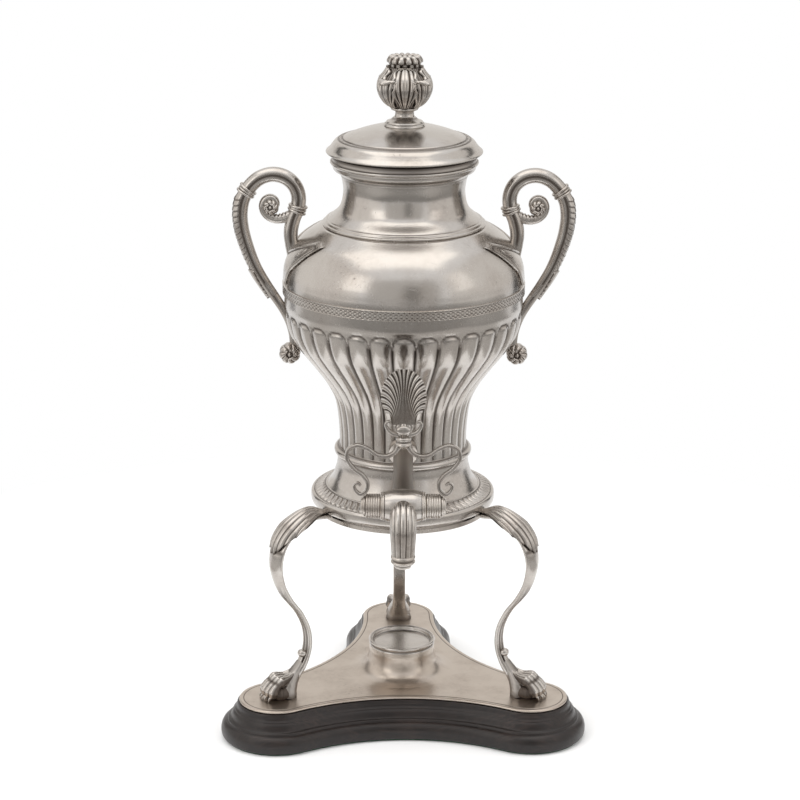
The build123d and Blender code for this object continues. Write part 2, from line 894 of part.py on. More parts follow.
# Lid: a spun dome with a plain bezel that drops into the neck
with BuildPart() as lid_shell:
    bezel_inner_r = inner_neck_r - bezel_gap - bezel_t
    brow = (lid_brow_r, lid_groove_z - lid_brow_drop)
    groove_end = (lid_groove_r - lid_groove_w, lid_groove_z)
    crown = (lid_crown_r, lid_crown_z)
    dome_line = [groove_end, (lid_dome_r, lid_dome_z), crown]
    dome_inner_line = inward(dome_line[::-1], -lid_t)[::-1]
    with BuildSketch(Plane.XZ):
        with BuildLine():
            Polyline((bezel_inner_r, lid_z), (lid_r, lid_z), (lid_r, lid_z + lid_rim_h))
            ThreePointArc((lid_r, lid_z + lid_rim_h), (lid_swell_r, lid_swell_z), brow)
            Polyline(
                brow,
                (lid_groove_r + lid_groove_w, lid_groove_z - lid_groove_w),
                (lid_groove_r, lid_groove_z - lid_groove_depth),
                groove_end,
            )
            Spline(*dome_line)
            Polyline(
                crown, (finial_screw_r, lid_crown_z), (finial_screw_r, lid_crown_z - lid_t),
                dome_inner_line[-1],
            )
            Spline(*dome_inner_line)
            Polyline(dome_inner_line[0], (bezel_inner_r, lid_cove_z), (bezel_inner_r, lid_z))
        make_face()
    revolve(axis=Axis.Z)

with BuildPart() as lid_bezel:
    with BuildSketch(Plane.XY.offset(lid_z)):
        Circle(inner_neck_r - bezel_gap)
        Circle(bezel_inner_r, mode=Mode.SUBTRACT)
    extrude(amount=-bezel_h)

with BuildPart() as finial_foot:
    foot_edge = (finial_foot_r, lid_crown_z + finial_foot_h)
    step = (finial_step_r, lid_crown_z + finial_step_h)
    cup = (finial_cup_r, lid_crown_z + finial_cup_h)
    with BuildSketch(Plane.XZ):
        with BuildLine():
            Polyline(
                (finial_screw_r, lid_crown_z), (finial_foot_r - finial_bevel, lid_crown_z), foot_edge
            )
            ThreePointArc(foot_edge, (finial_round_r, lid_crown_z + finial_round_h), step)
            Spline(
                step,
                (finial_cone_r, lid_crown_z + finial_cone_h),
                (finial_waist_r, lid_crown_z + finial_waist_h),
                cup,
            )
            Polyline(
                cup, (finial_seat_r, knop_z), (finial_screw_r, knop_z), (finial_screw_r, lid_crown_z)
            )
        make_face()
    revolve(axis=Axis.Z)

knop_profile = [(knop_z + rise, crest_r) for rise, crest_r in knop_rises]
knop_profile.append((rosette_z, knop_top_r))

with BuildPart() as finial_knop:
    for z, crest_r in knop_profile:
        with BuildSketch(Plane.XY.offset(z)):
            add(lobed_disc(crest_r, knop_lobe_depth, knop_lobes))
    loft(ruled=True)
    with Locations((0, 0, knop_z)):
        Cylinder(
            finial_screw_r,
            finial_screw_top_z - knop_z,
            align=(Align.CENTER, Align.CENTER, Align.MIN),
            mode=Mode.SUBTRACT,
        )

with BuildPart() as finial_rosette:
    for k in range(rosette_steps + 1):
        turn = radians(90 * k / rosette_steps)
        crest_r = rosette_tip_r + (rosette_r - rosette_tip_r) * cos(turn)
        z = rosette_z + (finial_top_z - rosette_z) * sin(turn)
        with BuildSketch(Plane.XY.offset(z)):
            add(lobed_disc(crest_r, rosette_petal_depth * crest_r, rosette_petals))
    loft(ruled=True)

with BuildPart() as finial_screw:
    with BuildSketch(Plane.XY.offset(lid_crown_z - lid_t - finial_nut_h)):
        Circle(finial_screw_r - solder_gap)
    extrude(amount=finial_screw_top_z - lid_crown_z + lid_t + finial_nut_h)

with BuildPart() as finial_nut:
    with BuildSketch(Plane.XY.offset(lid_crown_z - lid_t)):
        RegularPolygon(finial_nut_w / 2, 6, major_radius=False)
        Circle(finial_screw_r, mode=Mode.SUBTRACT)
    extrude(amount=-finial_nut_h)

# Handles: upswept scrolls with bracelets, an inner curl and rosettes
handle_offsets = [
    (-7.5, 352.0),
    (-5.9, 361.0),
    (-5.1, 370.3),
    (-6.9, 380.0),
    (-10.3, 389.0),
    (-10.9, 397.0),
    (-7.9, 405.2),
    (-1.2, 411.0),
    (7.4, 413.0),
    (16.8, 410.4),
    (24.9, 403.0),
    (29.7, 393.9),
    (31.2, 384.0),
    (30.3, 373.5),
    (26.3, 358.6),
    (20.3, 343.8),
    (13.4, 332.0),
    (6.6, 321.8),
    (0.7, 312.4),
    (-3.3, 303.6),
    (-5.7, 294.0),
    (-6.3, 286.0),
]
handle_points = [(belly_r + out, z) for out, z in handle_offsets]
scroll_offsets = [
    (-9.5, 388.0),
    (-5.2, 383.9),
    (-0.6, 381.0),
    (4.3, 380.0),
    (9.7, 381.6),
]
scroll_points = [(belly_r + out, z) for out, z in scroll_offsets]


def handle_radius(u):
    """Radius of the handle's bar from the shoulder, at 0, to the lower tip, at 1."""
    stops = [(0, handle_r), (0.7, handle_r), (0.92, handle_end_r), (1, handle_tip_r)]
    return between(u, stops)


def scroll_radius(u):
    """Radius of the inner curl from its root, at 0, to its rosette, at 1."""
    return between(u, [(0, scroll_r), (1, scroll_tip_r)])


rosette_places = [
    (belly_r + scroll_rosette_outset, scroll_rosette_z, scroll_rosette_r),
    (belly_r + curl_rosette_outset, curl_rosette_z, curl_rosette_r),
]

with BuildPart() as rosette_pair:
    for x, z, radius in rosette_places:
        with BuildSketch(Plane.XZ.offset(-rosette_w / 2)):
            with Locations((x, z)):
                Circle(radius)
        extrude(amount=rosette_w)
    fillet(rosette_pair.edges().filter_by(GeomType.CIRCLE), rosette_round)

with BuildPart() as handle_bar:
    add(tapered_rod(Plane.XZ, handle_points, handle_radius, handle_stations))
    add(crest_envelope.part, mode=Mode.SUBTRACT)
    add(rosette_pair.part, mode=Mode.SUBTRACT)

with BuildPart() as handle_curl:
    add(tapered_rod(Plane.XZ, scroll_points, scroll_radius, scroll_stations))
    add(handle_bar.part, mode=Mode.SUBTRACT)
    add(rosette_pair.part, mode=Mode.SUBTRACT)

with BuildLine(Plane.XZ) as handle_route:
    Spline(*handle_points)

with BuildPart() as bracelet_pair:
    for u in bracelet_stations:
        across = Plane(
            handle_route.line @ u, x_dir=(0, 1, 0), z_dir=handle_route.line % u
        )
        with BuildSketch(across.offset(-bracelet_w / 2)):
            Circle(bracelet_r)
        extrude(amount=bracelet_w)
    fillet(bracelet_pair.edges().filter_by(GeomType.CIRCLE), bracelet_round)
    add(handle_bar.part, mode=Mode.SUBTRACT)
    add(handle_curl.part, mode=Mode.SUBTRACT)

handle_pieces = {
    "handle": handle_bar.part,
    "handle_curl": handle_curl.part,
    "handle_bracelets": bracelet_pair.part,
    "handle_rosettes": rosette_pair.part,
}

for name, solid in handle_pieces.items():
    with BuildPart() as right_piece:
        add(solid)
    right_piece.part.label = f"{name}_right"
    export_step(right_piece.part, f"parts/{name}_right.step")
    with BuildPart() as left_piece:
        add(mirror(solid, about=Plane.YZ, mode=Mode.PRIVATE))
    left_piece.part.label = f"{name}_left"
    export_step(left_piece.part, f"parts/{name}_left.step")

# Tap: a pipe from the vessel, a cross barrel and a reeded spout
barrel_plane = Plane((0, tap_y, tap_z), x_dir=(0, -1, 0), z_dir=(1, 0, 0))

with BuildPart() as barrel_form:
    with BuildSketch(Plane.XZ.offset(-tap_y)):
        with BuildLine():
            bulge = ThreePointArc(
                (-barrel_half_l, tap_z + barrel_end_r),
                (0, tap_z + barrel_r),
                (barrel_half_l, tap_z + barrel_end_r),
            )
            Polyline(
                bulge @ 1, (barrel_half_l, tap_z), (-barrel_half_l, tap_z), bulge @ 0
            )
        make_face()
    revolve(axis=Axis((0, tap_y, tap_z), (1, 0, 0)))

with BuildPart() as tap_barrel:
    add(barrel_form.part)
    add(rod_between((-plug_half_l, tap_y, tap_z), (plug_half_l, tap_y, tap_z), plug_r + plug_gap),
        mode=Mode.SUBTRACT)
    add(rod_between(pipe_root, pipe_end, water_bore_r), mode=Mode.SUBTRACT)
    add(
        rod_between((0, tap_y, tap_z), (0, tap_y - 2 * barrel_r, tap_z), water_bore_r),
        mode=Mode.SUBTRACT,
    )

with BuildPart() as tap_barrel_rings:
    for side in (-1, 1):
        start = barrel_half_l if side > 0 else -barrel_half_l - barrel_ring_w
        with BuildSketch(barrel_plane.offset(start)):
            Circle(barrel_ring_r)
            Circle(plug_r + plug_gap, mode=Mode.SUBTRACT)
        extrude(amount=barrel_ring_w)
    barrel_rims = tap_barrel_rings.edges().filter_by(GeomType.CIRCLE).group_by(SortBy.RADIUS)
    fillet(barrel_rims[-1], barrel_ring_round)

pad_along = (tap_pad_y - pipe_root_y) / pipe_axis.Y
pad_end = Vector(*pipe_root) + pipe_axis * pad_along
nut_plane = Plane(pipe_root, x_dir=(1, 0, 0), z_dir=pipe_axis)

with BuildPart() as tap_pipe:
    with BuildSketch(nut_plane):
        Circle(pipe_r)
    extrude(amount=pad_along)
    with BuildSketch(Plane(pad_end, z_dir=pipe_axis)):
        Circle(pipe_r)
    with BuildSketch(Plane(pipe_end, z_dir=pipe_axis)):
        Circle(pipe_end_r)
    loft()
    add(rod_between(pipe_root, pipe_end, water_bore_r), mode=Mode.SUBTRACT)
    add(barrel_form.part, mode=Mode.SUBTRACT)

with BuildPart() as tap_pad:
    add(rod_between(pipe_root, tuple(pad_end), tap_pad_r))
    add(crest_envelope.part, mode=Mode.SUBTRACT)
    add(rod_between(pipe_root, pipe_end, pipe_r), mode=Mode.SUBTRACT)
    with Locations((0, 0, ring_bottom_z)):
        Cylinder(
            ring_bead_r,
            ring_h,
            align=(Align.CENTER, Align.CENTER, Align.MIN),
            mode=Mode.SUBTRACT,
        )

with BuildPart() as tap_nut:
    with BuildSketch(nut_plane):
        RegularPolygon(pipe_nut_w / 2, 6, major_radius=False)
        Circle(pipe_r + solder_gap, mode=Mode.SUBTRACT)
    extrude(amount=-pipe_nut_t)

with BuildPart() as pipe_tail:
    with BuildSketch(nut_plane):
        Circle(pipe_r)
        Circle(water_bore_r, mode=Mode.SUBTRACT)
    extrude(amount=-pipe_nut_t)

with BuildPart() as tap_washer:
    with BuildSketch(nut_plane):
        Circle(washer_r)
        Circle(pipe_r + solder_gap, mode=Mode.SUBTRACT)
    extrude(amount=pad_along)
    add(vessel_room.part, mode=Mode.INTERSECT)

with BuildPart() as tap_pipe_whole:
    add(tap_pipe.part)
    add(pipe_tail.part)

bend_start_y = tap_y - spout_reach
spout_y = bend_start_y - spout_bend_r
bend_z = tap_z - spout_bend_r

with BuildPart() as spout:
    for k in range(spout_bend_steps + 1):
        turn = radians(90 * k / spout_bend_steps)
        place = (0, bend_start_y - spout_bend_r * sin(turn), bend_z + spout_bend_r * cos(turn))
        with BuildSketch(Plane(place, x_dir=(1, 0, 0), z_dir=(0, -cos(turn), -sin(turn)))):
            add(lobed_disc(spout_r, spout_reed_depth, spout_reeds))
    with BuildSketch(Plane((0, spout_y, spout_foot_z), x_dir=(1, 0, 0), z_dir=(0, 0, -1))):
        add(lobed_disc(spout_foot_r, spout_reed_depth, spout_reeds))
    loft(ruled=True)
    add(barrel_form.part, mode=Mode.SUBTRACT)

with BuildPart() as spout_bore:
    with BuildSketch(Plane((0, tap_y, tap_z), x_dir=(1, 0, 0), z_dir=(0, -1, 0))):
        Circle(water_bore_r)
    extrude(amount=spout_reach)
    with BuildSketch(Plane((0, bend_start_y, tap_z), x_dir=(1, 0, 0), z_dir=(0, -1, 0))):
        Circle(water_bore_r)
    revolve(axis=Axis((0, bend_start_y, bend_z), (1, 0, 0)), revolution_arc=90)
    with BuildSketch(Plane.XY.offset(spout_foot_z)):
        with Locations((0, spout_y)):
            Circle(water_bore_r)
    extrude(amount=bend_z - spout_foot_z)

with BuildPart() as spout_piece:
    add(spout.part)
    add(spout_bore.part, mode=Mode.SUBTRACT)

with BuildPart() as spout_collar:
    with BuildSketch(Plane.XY.offset(spout_foot_z)):
        with Locations((0, spout_y)):
            Circle(spout_collar_r)
    extrude(amount=-spout_collar_h / 2)
    fillet(spout_collar.edges(), spout_collar_round)
    with BuildSketch(Plane.XY.offset(spout_foot_z)):
        with Locations((0, spout_y)):
            Circle(spout_lip_r)
    extrude(amount=-spout_collar_h)
    with BuildSketch(Plane.XY.offset(spout_foot_z)):
        with Locations((0, spout_y)):
            Circle(water_bore_r)
    extrude(amount=-spout_collar_h, mode=Mode.SUBTRACT)

with BuildPart() as nozzle:
    with BuildSketch(Plane.XY.offset(spout_foot_z - spout_collar_h)):
        with Locations((0, spout_y)):
            Circle(nozzle_r)
            Circle(water_bore_r, mode=Mode.SUBTRACT)
    extrude(amount=-nozzle_h)

# Key: plug, sleeves and end caps turn together with the yoke of two scrolled arms
with BuildPart() as tap_plug:
    add(rod_between((-plug_half_l, tap_y, tap_z), (plug_half_l, tap_y, tap_z), plug_r))
    add(
        rod_between((0, tap_y, tap_z - 2 * plug_r), (0, tap_y, tap_z + 2 * plug_r), water_bore_r),
        mode=Mode.SUBTRACT,
    )

sleeve_start = barrel_half_l + barrel_ring_w + plug_side_gap
key_collar_z = tap_z + key_collar_rise
curl_seat = (plug_half_l + cap_w, tap_z + cap_r + arm_t / 2 + solder_gap)
arm_points = [
    (arm_t * 0.8, key_collar_z + arm_t * 0.8),
    *[(x, tap_z + rise) for x, rise in arm_rises],
    curl_seat,
    *[(x, tap_z + rise) for x, rise in arm_curl_end],
]


def arm_width(u):
    """Depth of a key arm, the same all along."""
    return arm_w


with BuildPart() as collar_room:
    with BuildSketch(Plane.XY.offset(key_collar_z)):
        with Locations((0, tap_y)):
            Circle(2 * key_collar_r)
    extrude(amount=key_collar_h)

with BuildPart() as plug_caps:
    for side in (-1, 1):
        with BuildSketch(barrel_plane.offset(side * (plug_half_l + cap_w / 2))):
            Circle(cap_r)
    extrude(amount=cap_w / 2, both=True)

for name, side in (("left", -1), ("right", 1)):
    with BuildPart() as sleeve:
        with BuildSketch(barrel_plane.offset(side * (sleeve_start + plug_half_l) / 2)):
            Circle(sleeve_r)
            Circle(plug_r, mode=Mode.SUBTRACT)
        extrude(amount=(plug_half_l - sleeve_start) / 2, both=True)
    sleeve.part.label = f"plug_sleeve_{name}"
    export_step(sleeve.part, f"parts/plug_sleeve_{name}.step")

    arm_plane = Plane((0, tap_y, 0), x_dir=(1, 0, 0), z_dir=(0, -1, 0))
    with BuildPart() as arm:
        arm_bar = strap(arm_plane, arm_points, arm_width, arm_t, arm_stations)
        add(arm_bar if side > 0 else mirror(arm_bar, about=Plane.YZ, mode=Mode.PRIVATE))
        add(collar_room.part, mode=Mode.SUBTRACT)
    arm.part.label = f"key_arm_{name}"
    export_step(arm.part, f"parts/key_arm_{name}.step")

with BuildPart() as key_collar:
    with BuildSketch(Plane.XY.offset(key_collar_z)):
        with Locations((0, tap_y)):
            Circle(key_collar_r)
    extrude(amount=key_collar_h)
    fillet(key_collar.edges(), key_collar_round)

calyx_z = key_collar_z + key_collar_h
palmette_z = calyx_z + calyx_h

with BuildPart() as key_calyx:
    for rise, half_w, half_d in calyx_rises:
        with BuildSketch(Plane.XY.offset(calyx_z + rise)):
            with Locations((0, tap_y)):
                Ellipse(half_w, half_d)
    loft()
    for side in (-1, 1):
        leaf_plane = Plane((0, tap_y, calyx_z), x_dir=(side, 0, 0), z_dir=(0, -side, 0))
        with BuildSketch(leaf_plane.offset(-calyx_leaf_t / 2)):
            with BuildLine():
                under = Spline(*calyx_leaf_under)
                over = Spline(*calyx_leaf_over)
                Line(over @ 1, under @ 0)
            make_face()
        extrude(amount=calyx_leaf_t)

with BuildPart() as key_palmette:
    front = Plane((0, tap_y, palmette_z), x_dir=(1, 0, 0), z_dir=(0, -1, 0))
    with BuildSketch(front.offset(-palmette_t / 2)):
        with BuildLine():
            right_edge = Spline(
                (palmette_stem_w / 2, 0),
                (palmette_half_w * 0.8, palmette_h * 0.17),
                (palmette_half_w, palmette_h * 0.5),
                (palmette_half_w * 0.62, palmette_h * 0.86),
                (0, palmette_h),
            )
            mirror(right_edge, about=Plane.YZ)
            Line((palmette_stem_w / 2, 0), (-palmette_stem_w / 2, 0))
        make_face()
    extrude(amount=palmette_t)
    with BuildSketch(front.offset(palmette_t / 2)):
        for k in range(palmette_ribs):
            lean = (k - (palmette_ribs - 1) / 2) * palmette_rib_lean
            reach = palmette_h * between(abs(lean), palmette_reach)
            tip = reach * palmette_rib_tip
            root = palmette_rib_root_w / 2
            with Locations(Location((0, palmette_rib_foot, 0), (0, 0, -lean))):
                rib = [(-root, 0), (root, 0), (tip, reach - tip), (0, reach), (-tip, reach - tip)]
                Polygon(*rib, align=None)
    extrude(amount=palmette_rib_h)

# Files, one for each piece
pieces = {
    "base_felt": base_felt.part,
    "plinth": plinth.part,
    "base_plate": base_plate.part,
    "lamp_seat": lamp_seat.part,
    "paw_screws": paw_screws.part,
    "stand_ring": stand_ring.part,
    "leg_rivets": leg_rivets.part,
    "foot_flange": foot_flange.part,
    "foot_cone": foot_cone.part,
    "lower_ring": lower_ring.part,
    "vessel_floor": vessel_floor.part,
    "vessel_waist": vessel_waist.part,
    "lower_body": lower_body.part,
    "upper_body": upper_body.part,
    "neck": neck.part,
    "waist_band": waist_band.part,
    "shoulder_ring": shoulder_ring.part,
    "rim_collar": rim_collar.part,
    "lid_shell": lid_shell.part,
    "lid_bezel": lid_bezel.part,
    "finial_foot": finial_foot.part,
    "finial_knop": finial_knop.part,
    "finial_rosette": finial_rosette.part,
    "finial_screw": finial_screw.part,
    "finial_nut": finial_nut.part,
    "tap_pad": tap_pad.part,
    "tap_pipe": tap_pipe_whole.part,
    "tap_nut": tap_nut.part,
    "tap_washer": tap_washer.part,
    "tap_barrel": tap_barrel.part,
    "tap_barrel_rings": tap_barrel_rings.part,
    "spout": spout_piece.part,
    "spout_collar": spout_collar.part,
    "nozzle": nozzle.part,
    "tap_plug": tap_plug.part,
    "plug_caps": plug_caps.part,
    "key_collar": key_collar.part,
    "key_calyx": key_calyx.part,
    "key_palmette": key_palmette.part,
}
pieces.update({f"leg_{name}": solid for name, solid in legs.items()})

for name, solid in pieces.items():
    solid.label = name
    export_step(solid, f"parts/{name}.step")
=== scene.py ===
"""Looks of the hot-water urn: fine meshes, finishes, studio and camera.

Everything is placed in the frame of the CAD model, which is loaded first. Sizes and places
are in millimetres, and angles in degrees. Round pieces are outlined by (radius, height).
"""

import json
import logging
import math
from collections.abc import Callable, Sequence
from dataclasses import dataclass
from enum import Enum

import bpy
import numpy as np
from mathutils import Euler, Matrix, Vector


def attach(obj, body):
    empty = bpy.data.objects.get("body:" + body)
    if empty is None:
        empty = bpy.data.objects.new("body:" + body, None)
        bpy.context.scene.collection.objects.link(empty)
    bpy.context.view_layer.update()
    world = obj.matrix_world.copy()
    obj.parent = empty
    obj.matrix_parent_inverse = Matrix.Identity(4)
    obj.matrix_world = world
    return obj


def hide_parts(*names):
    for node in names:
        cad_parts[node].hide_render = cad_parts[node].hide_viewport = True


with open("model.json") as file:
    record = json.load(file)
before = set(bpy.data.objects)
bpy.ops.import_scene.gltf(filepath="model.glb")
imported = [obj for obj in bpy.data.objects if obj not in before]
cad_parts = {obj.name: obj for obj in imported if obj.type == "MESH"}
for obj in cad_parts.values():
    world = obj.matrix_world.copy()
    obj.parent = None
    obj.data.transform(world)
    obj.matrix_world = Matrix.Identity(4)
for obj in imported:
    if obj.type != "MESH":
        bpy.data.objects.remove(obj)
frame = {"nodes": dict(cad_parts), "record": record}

log = logging.getLogger("urn")

MM = 0.001
HOLLOW = "hollow"
WELD = 0.004
PLUG_Y, PLUG_Z = -110.0, 199.5

Array = np.ndarray
Piece = bpy.types.Object
Socket = bpy.types.NodeSocket
Material = bpy.types.Material
Colour = tuple[float, float, float]
Place = tuple[float, float, float]
Points = Sequence[tuple[float, float]]
Cut = tuple[Array, Array, Array]
Moved = tuple[Array, Array, Array, Array]
Section = Callable[[Array, Array], Cut]
Relief = Callable[[Array, Array, Array], Cut]
Shape = Callable[[Array, Array, Array], Moved]


class Slot(Enum):
    """Material slots of the record."""

    SILVER = "silver_plate"
    WOOD = "black_wood"
    FELT = "felt"
    BRASS = "brass"
    TIN = "tinned_copper"
    STEEL = "steel_screw"
    FIBRE = "fibre_washer"


class Body(Enum):
    """Bodies of the record that move on their own."""

    URN = "urn"
    KEY = "key"
    LID = "lid"


# ---------------------------------------------------------------- finishes


class Graph:
    """A node tree, with short calls to add and join nodes."""

    def __init__(self, tree: bpy.types.NodeTree) -> None:
        """Takes the tree that the nodes go into."""
        self.tree = tree

    @classmethod
    def of(cls, holder: Material | bpy.types.World) -> "Graph":
        """An empty graph for a material or world."""
        holder.use_nodes = True
        holder.node_tree.nodes.clear()
        return cls(holder.node_tree)

    def add(self, kind: str, values: dict | None = None, **settings) -> bpy.types.Node:
        """Adds a node.

        Args:
            kind: The node's type, without its ShaderNode prefix.
            values: Input values or sockets to link, by input name or number.
            settings: Properties of the node.

        Returns:
            The new node.
        """
        prefix = "" if kind.startswith("Node") else "ShaderNode"
        node = self.tree.nodes.new(prefix + kind)
        for name, value in settings.items():
            setattr(node, name, value)
        for name, value in (values or {}).items():
            if isinstance(value, Socket):
                self.tree.links.new(value, node.inputs[name])
            else:
                node.inputs[name].default_value = value
        return node

    def math(self, operation: str, *values: object, clamp: bool = False) -> Socket:
        """Adds a math node and returns its result."""
        node = self.add("Math", dict(enumerate(values)), operation=operation, use_clamp=clamp)
        return node.outputs[0]

    def times(self, first: object, second: object) -> Socket:
        """The product of two values."""
        return self.math("MULTIPLY", first, second)

    def plus(self, first: object, second: object) -> Socket:
        """The sum of two values."""
        return self.math("ADD", first, second)

    def ramp(self, value: object, low: float, high: float) -> Socket:
        """Maps low to 0 and high to 1, clamped."""
        values = {"Value": value, "From Min": low, "From Max": high}
        return self.add("MapRange", values).outputs["Result"]

    def between(self, value: object, low: float, high: float) -> Socket:
        """Maps 0 to low and 1 to high, clamped."""
        values = {"Value": value, "To Min": low, "To Max": high}
        return self.add("MapRange", values).outputs["Result"]

    def mix(self, share: Socket, *ends: Socket | Colour) -> Socket:
        """Mixes two colours by share and returns the colour."""
        ends = [(*end, 1.0) if isinstance(end, tuple) else end for end in ends]
        values = dict(zip((0, 6, 7), (share, *ends)))
        return self.add("Mix", values, data_type="RGBA").outputs[2]

    def noise(self, place: Socket, scale: object, detail: float, roughness: float = 0.5) -> Socket:
        """Adds a noise and returns its value."""
        values = {"Vector": place, "Scale": scale, "Detail": detail, "Roughness": roughness}
        return self.add("TexNoise", values).outputs["Fac"]

    def bump(self, height: Socket, strength: float, distance: float = MM) -> Socket:
        """Adds a bump and returns the normal."""
        values = {"Height": height, "Strength": strength, "Distance": distance}
        return self.add("Bump", values).outputs["Normal"]

    def place(self) -> Socket:
        """The point in the piece's own coordinates."""
        return self.add("TexCoord").outputs["Object"]

    def recess(self) -> Socket:
        """How deep in a hollow of the piece the point lies, 0 to 1."""
        return self.add("Attribute", attribute_name=HOLLOW).outputs["Fac"]


class Effects:
    """Node groups that the finishes share, each made once."""

    inputs = {
        "tarnish": {"Patch Size": 30.0, "Patch Share": 0.5, "Hollow Share": 1.0},
        "scratches": {"Amount": 1.0},
        "dents": {"Wave": 1.0, "Pitting": 0.4},
    }

    def use(self, graph: Graph, name: str, values: dict[str, float]) -> dict[str, Socket]:
        """Adds a group to a graph and returns its outputs by name."""
        tree = bpy.data.node_groups.get(name) or self.group(name)
        return graph.add("Group", values, node_tree=tree).outputs

    def group(self, name: str) -> bpy.types.NodeTree:
        """Makes a group with float inputs at their defaults and float outputs.

        Args:
            name: The effect's name, which is also the name of the method that draws it.

        Returns:
            The group.
        """
        tree = bpy.data.node_groups.new(name, "ShaderNodeTree")
        for key, value in self.inputs[name].items():
            socket = tree.interface.new_socket(key, in_out="INPUT", socket_type="NodeSocketFloat")
            socket.default_value = value
        graph = Graph(tree)
        draw = {"tarnish": self.tarnish, "scratches": self.scratches, "dents": self.dents}[name]
        results = draw(graph, graph.add("NodeGroupInput").outputs, graph.place())
        for key in results:
            tree.interface.new_socket(key, in_out="OUTPUT", socket_type="NodeSocketFloat")
        graph.add("NodeGroupOutput", results)
        return tree

    def tarnish(self, graph: Graph, ports: dict[str, Socket], place: Socket) -> dict[str, Socket]:
        """Brown tarnish: strong in the hollows, in cloudy patches elsewhere; the hollow depth also
        carries the painted shade along the bowl's arches.
        """
        coarse = graph.noise(place, graph.math("DIVIDE", 1000.0, ports["Patch Size"]), 5.0, 0.62)
        fine = graph.noise(place, 420.0, 4.0, 0.6)
        cloud = graph.ramp(coarse, 0.42, 0.72)
        patch = graph.times(graph.times(cloud, ports["Patch Share"]), graph.ramp(fine, 0.3, 0.75))
        specks = graph.times(graph.ramp(fine, 0.60, 0.70), graph.ramp(coarse, 0.50, 0.62))
        faint = graph.times(graph.math("MAXIMUM", patch, specks), 0.45)
        # The hollow depth is mostly tarnish, but on the bowl it also holds painted shade along each
        # arch.
        stained = graph.times(graph.recess(), ports["Hollow Share"])
        return {"Mask": graph.math("MAXIMUM", faint, stained, clamp=True), "Cloud": cloud}

    def scratches(self, graph: Graph, ports: dict[str, Socket], place: Socket) -> dict[str, Socket]:
        """Fine wiping scratches, as thin bright lines in two directions."""
        lines = []
        for turn, stretch in ((0.5, (30.0, 1200.0, 240.0)), (-0.9, (900.0, 40.0, 300.0))):
            values = {"Vector": place, "Rotation": (turn, 0.3, turn), "Scale": stretch}
            turned = graph.add("Mapping", values).outputs["Vector"]
            lines.append(graph.ramp(graph.noise(turned, 1.0, 2.0), 0.66, 0.74))
        both = graph.math("MAXIMUM", *lines)
        mask = graph.math("MULTIPLY", both, ports["Amount"], clamp=True)
        return {"Height": graph.math("SUBTRACT", 1.0, mask), "Mask": mask}

    def dents(self, graph: Graph, ports: dict[str, Socket], place: Socket) -> dict[str, Socket]:
        """Slow waves of hand-raised sheet with fine pitting on top."""
        slow = graph.times(graph.noise(place, 38.0, 1.0), ports["Wave"])
        pits = graph.times(graph.noise(place, 900.0, 3.0, 0.7), ports["Pitting"])
        return {"Height": graph.plus(slow, pits)}


@dataclass(frozen=True)
class Finish:
    """What a piece is made of; each kind of finish paints its own surface."""

    name: str

    def paint(self, graph: Graph, effects: Effects) -> dict[str, object]:
        """The inputs of the surface shader, by name."""
        raise NotImplementedError

    def build(self, effects: Effects) -> Material:
        """Makes the material from the shared effects."""
        material = bpy.data.materials.new(self.name)
        graph = Graph.of(material)
        surface = graph.add("BsdfPrincipled", self.paint(graph, effects))
        graph.add("OutputMaterial", {"Surface": surface.outputs["BSDF"]})
        return material


@dataclass(frozen=True)
class Silver(Finish):
    """Old silver plate: its clean and tarnished colours, gloss and wear."""

    clean: Colour = (0.56, 0.53, 0.50)
    # Colour of tarnish in the hollows, also used for the painted shade along the bowl's arches.
    stain: Colour = (0.062, 0.045, 0.035)
    warm: Colour = (0.42, 0.365, 0.325)
    gloss: float = 0.20
    dull: float = 0.46
    patch_size: float = 34.0
    patch_share: float = 0.4
    hollow_share: float = 0.95
    scratch: float = 0.6
    wave: float = 0.5
    pitting: float = 0.10
    relief: float = 0.22

    def paint(self, graph: Graph, effects: Effects) -> dict[str, object]:
        """Warm patches, dark hollows, wiping scratches and shallow dents."""
        sizes = {"Patch Size": self.patch_size, "Patch Share": self.patch_share}
        tarnish = effects.use(graph, "tarnish", sizes | {"Hollow Share": self.hollow_share})
        scratches = effects.use(graph, "scratches", {"Amount": self.scratch})
        dents = effects.use(graph, "dents", {"Wave": self.wave, "Pitting": self.pitting})
        warmed = graph.mix(graph.times(tarnish["Cloud"], self.patch_share), self.clean, self.warm)
        rough = graph.between(tarnish["Mask"], self.gloss, self.dull)
        height = graph.plus(dents["Height"], graph.times(scratches["Height"], 0.10))
        return {
            "Base Color": graph.mix(tarnish["Mask"], warmed, self.stain),
            "Roughness": graph.plus(rough, graph.times(scratches["Mask"], 0.12)),
            "Normal": graph.bump(height, self.relief),
            "Metallic": 1.0,
        }


@dataclass(frozen=True)
class Wood(Finish):
    """Ebonised, waxed wood with a faint lengthwise grain and rubbed spots."""

    dark: Colour = (0.0070, 0.0044, 0.0040)
    pale: Colour = (0.030, 0.018, 0.015)
    gloss: float = 0.30

    def paint(self, graph: Graph, effects: Effects) -> dict[str, object]:
        """Grain drawn along X, paler where hands have rubbed it."""
        place = graph.place()
        run = graph.add("Mapping", {"Vector": place, "Scale": (60.0, 900.0, 420.0)})
        grain = graph.noise(run.outputs["Vector"], 1.0, 6.0)
        cloud = graph.noise(place, 55.0, 4.0)
        share = graph.times(graph.ramp(grain, 0.35, 0.7), graph.ramp(cloud, 0.3, 0.75))
        rubbed = graph.times(share, graph.math("SUBTRACT", 1.0, graph.recess(), clamp=True))
        dents = effects.use(graph, "dents", {"Wave": 0.3, "Pitting": 0.3})
        height = graph.plus(dents["Height"], graph.times(grain, 0.35))
        return {
            "Base Color": graph.mix(rubbed, self.dark, self.pale),
            "Roughness": graph.between(cloud, self.gloss - 0.08, self.gloss + 0.16),
            "Normal": graph.bump(height, 0.25),
        }


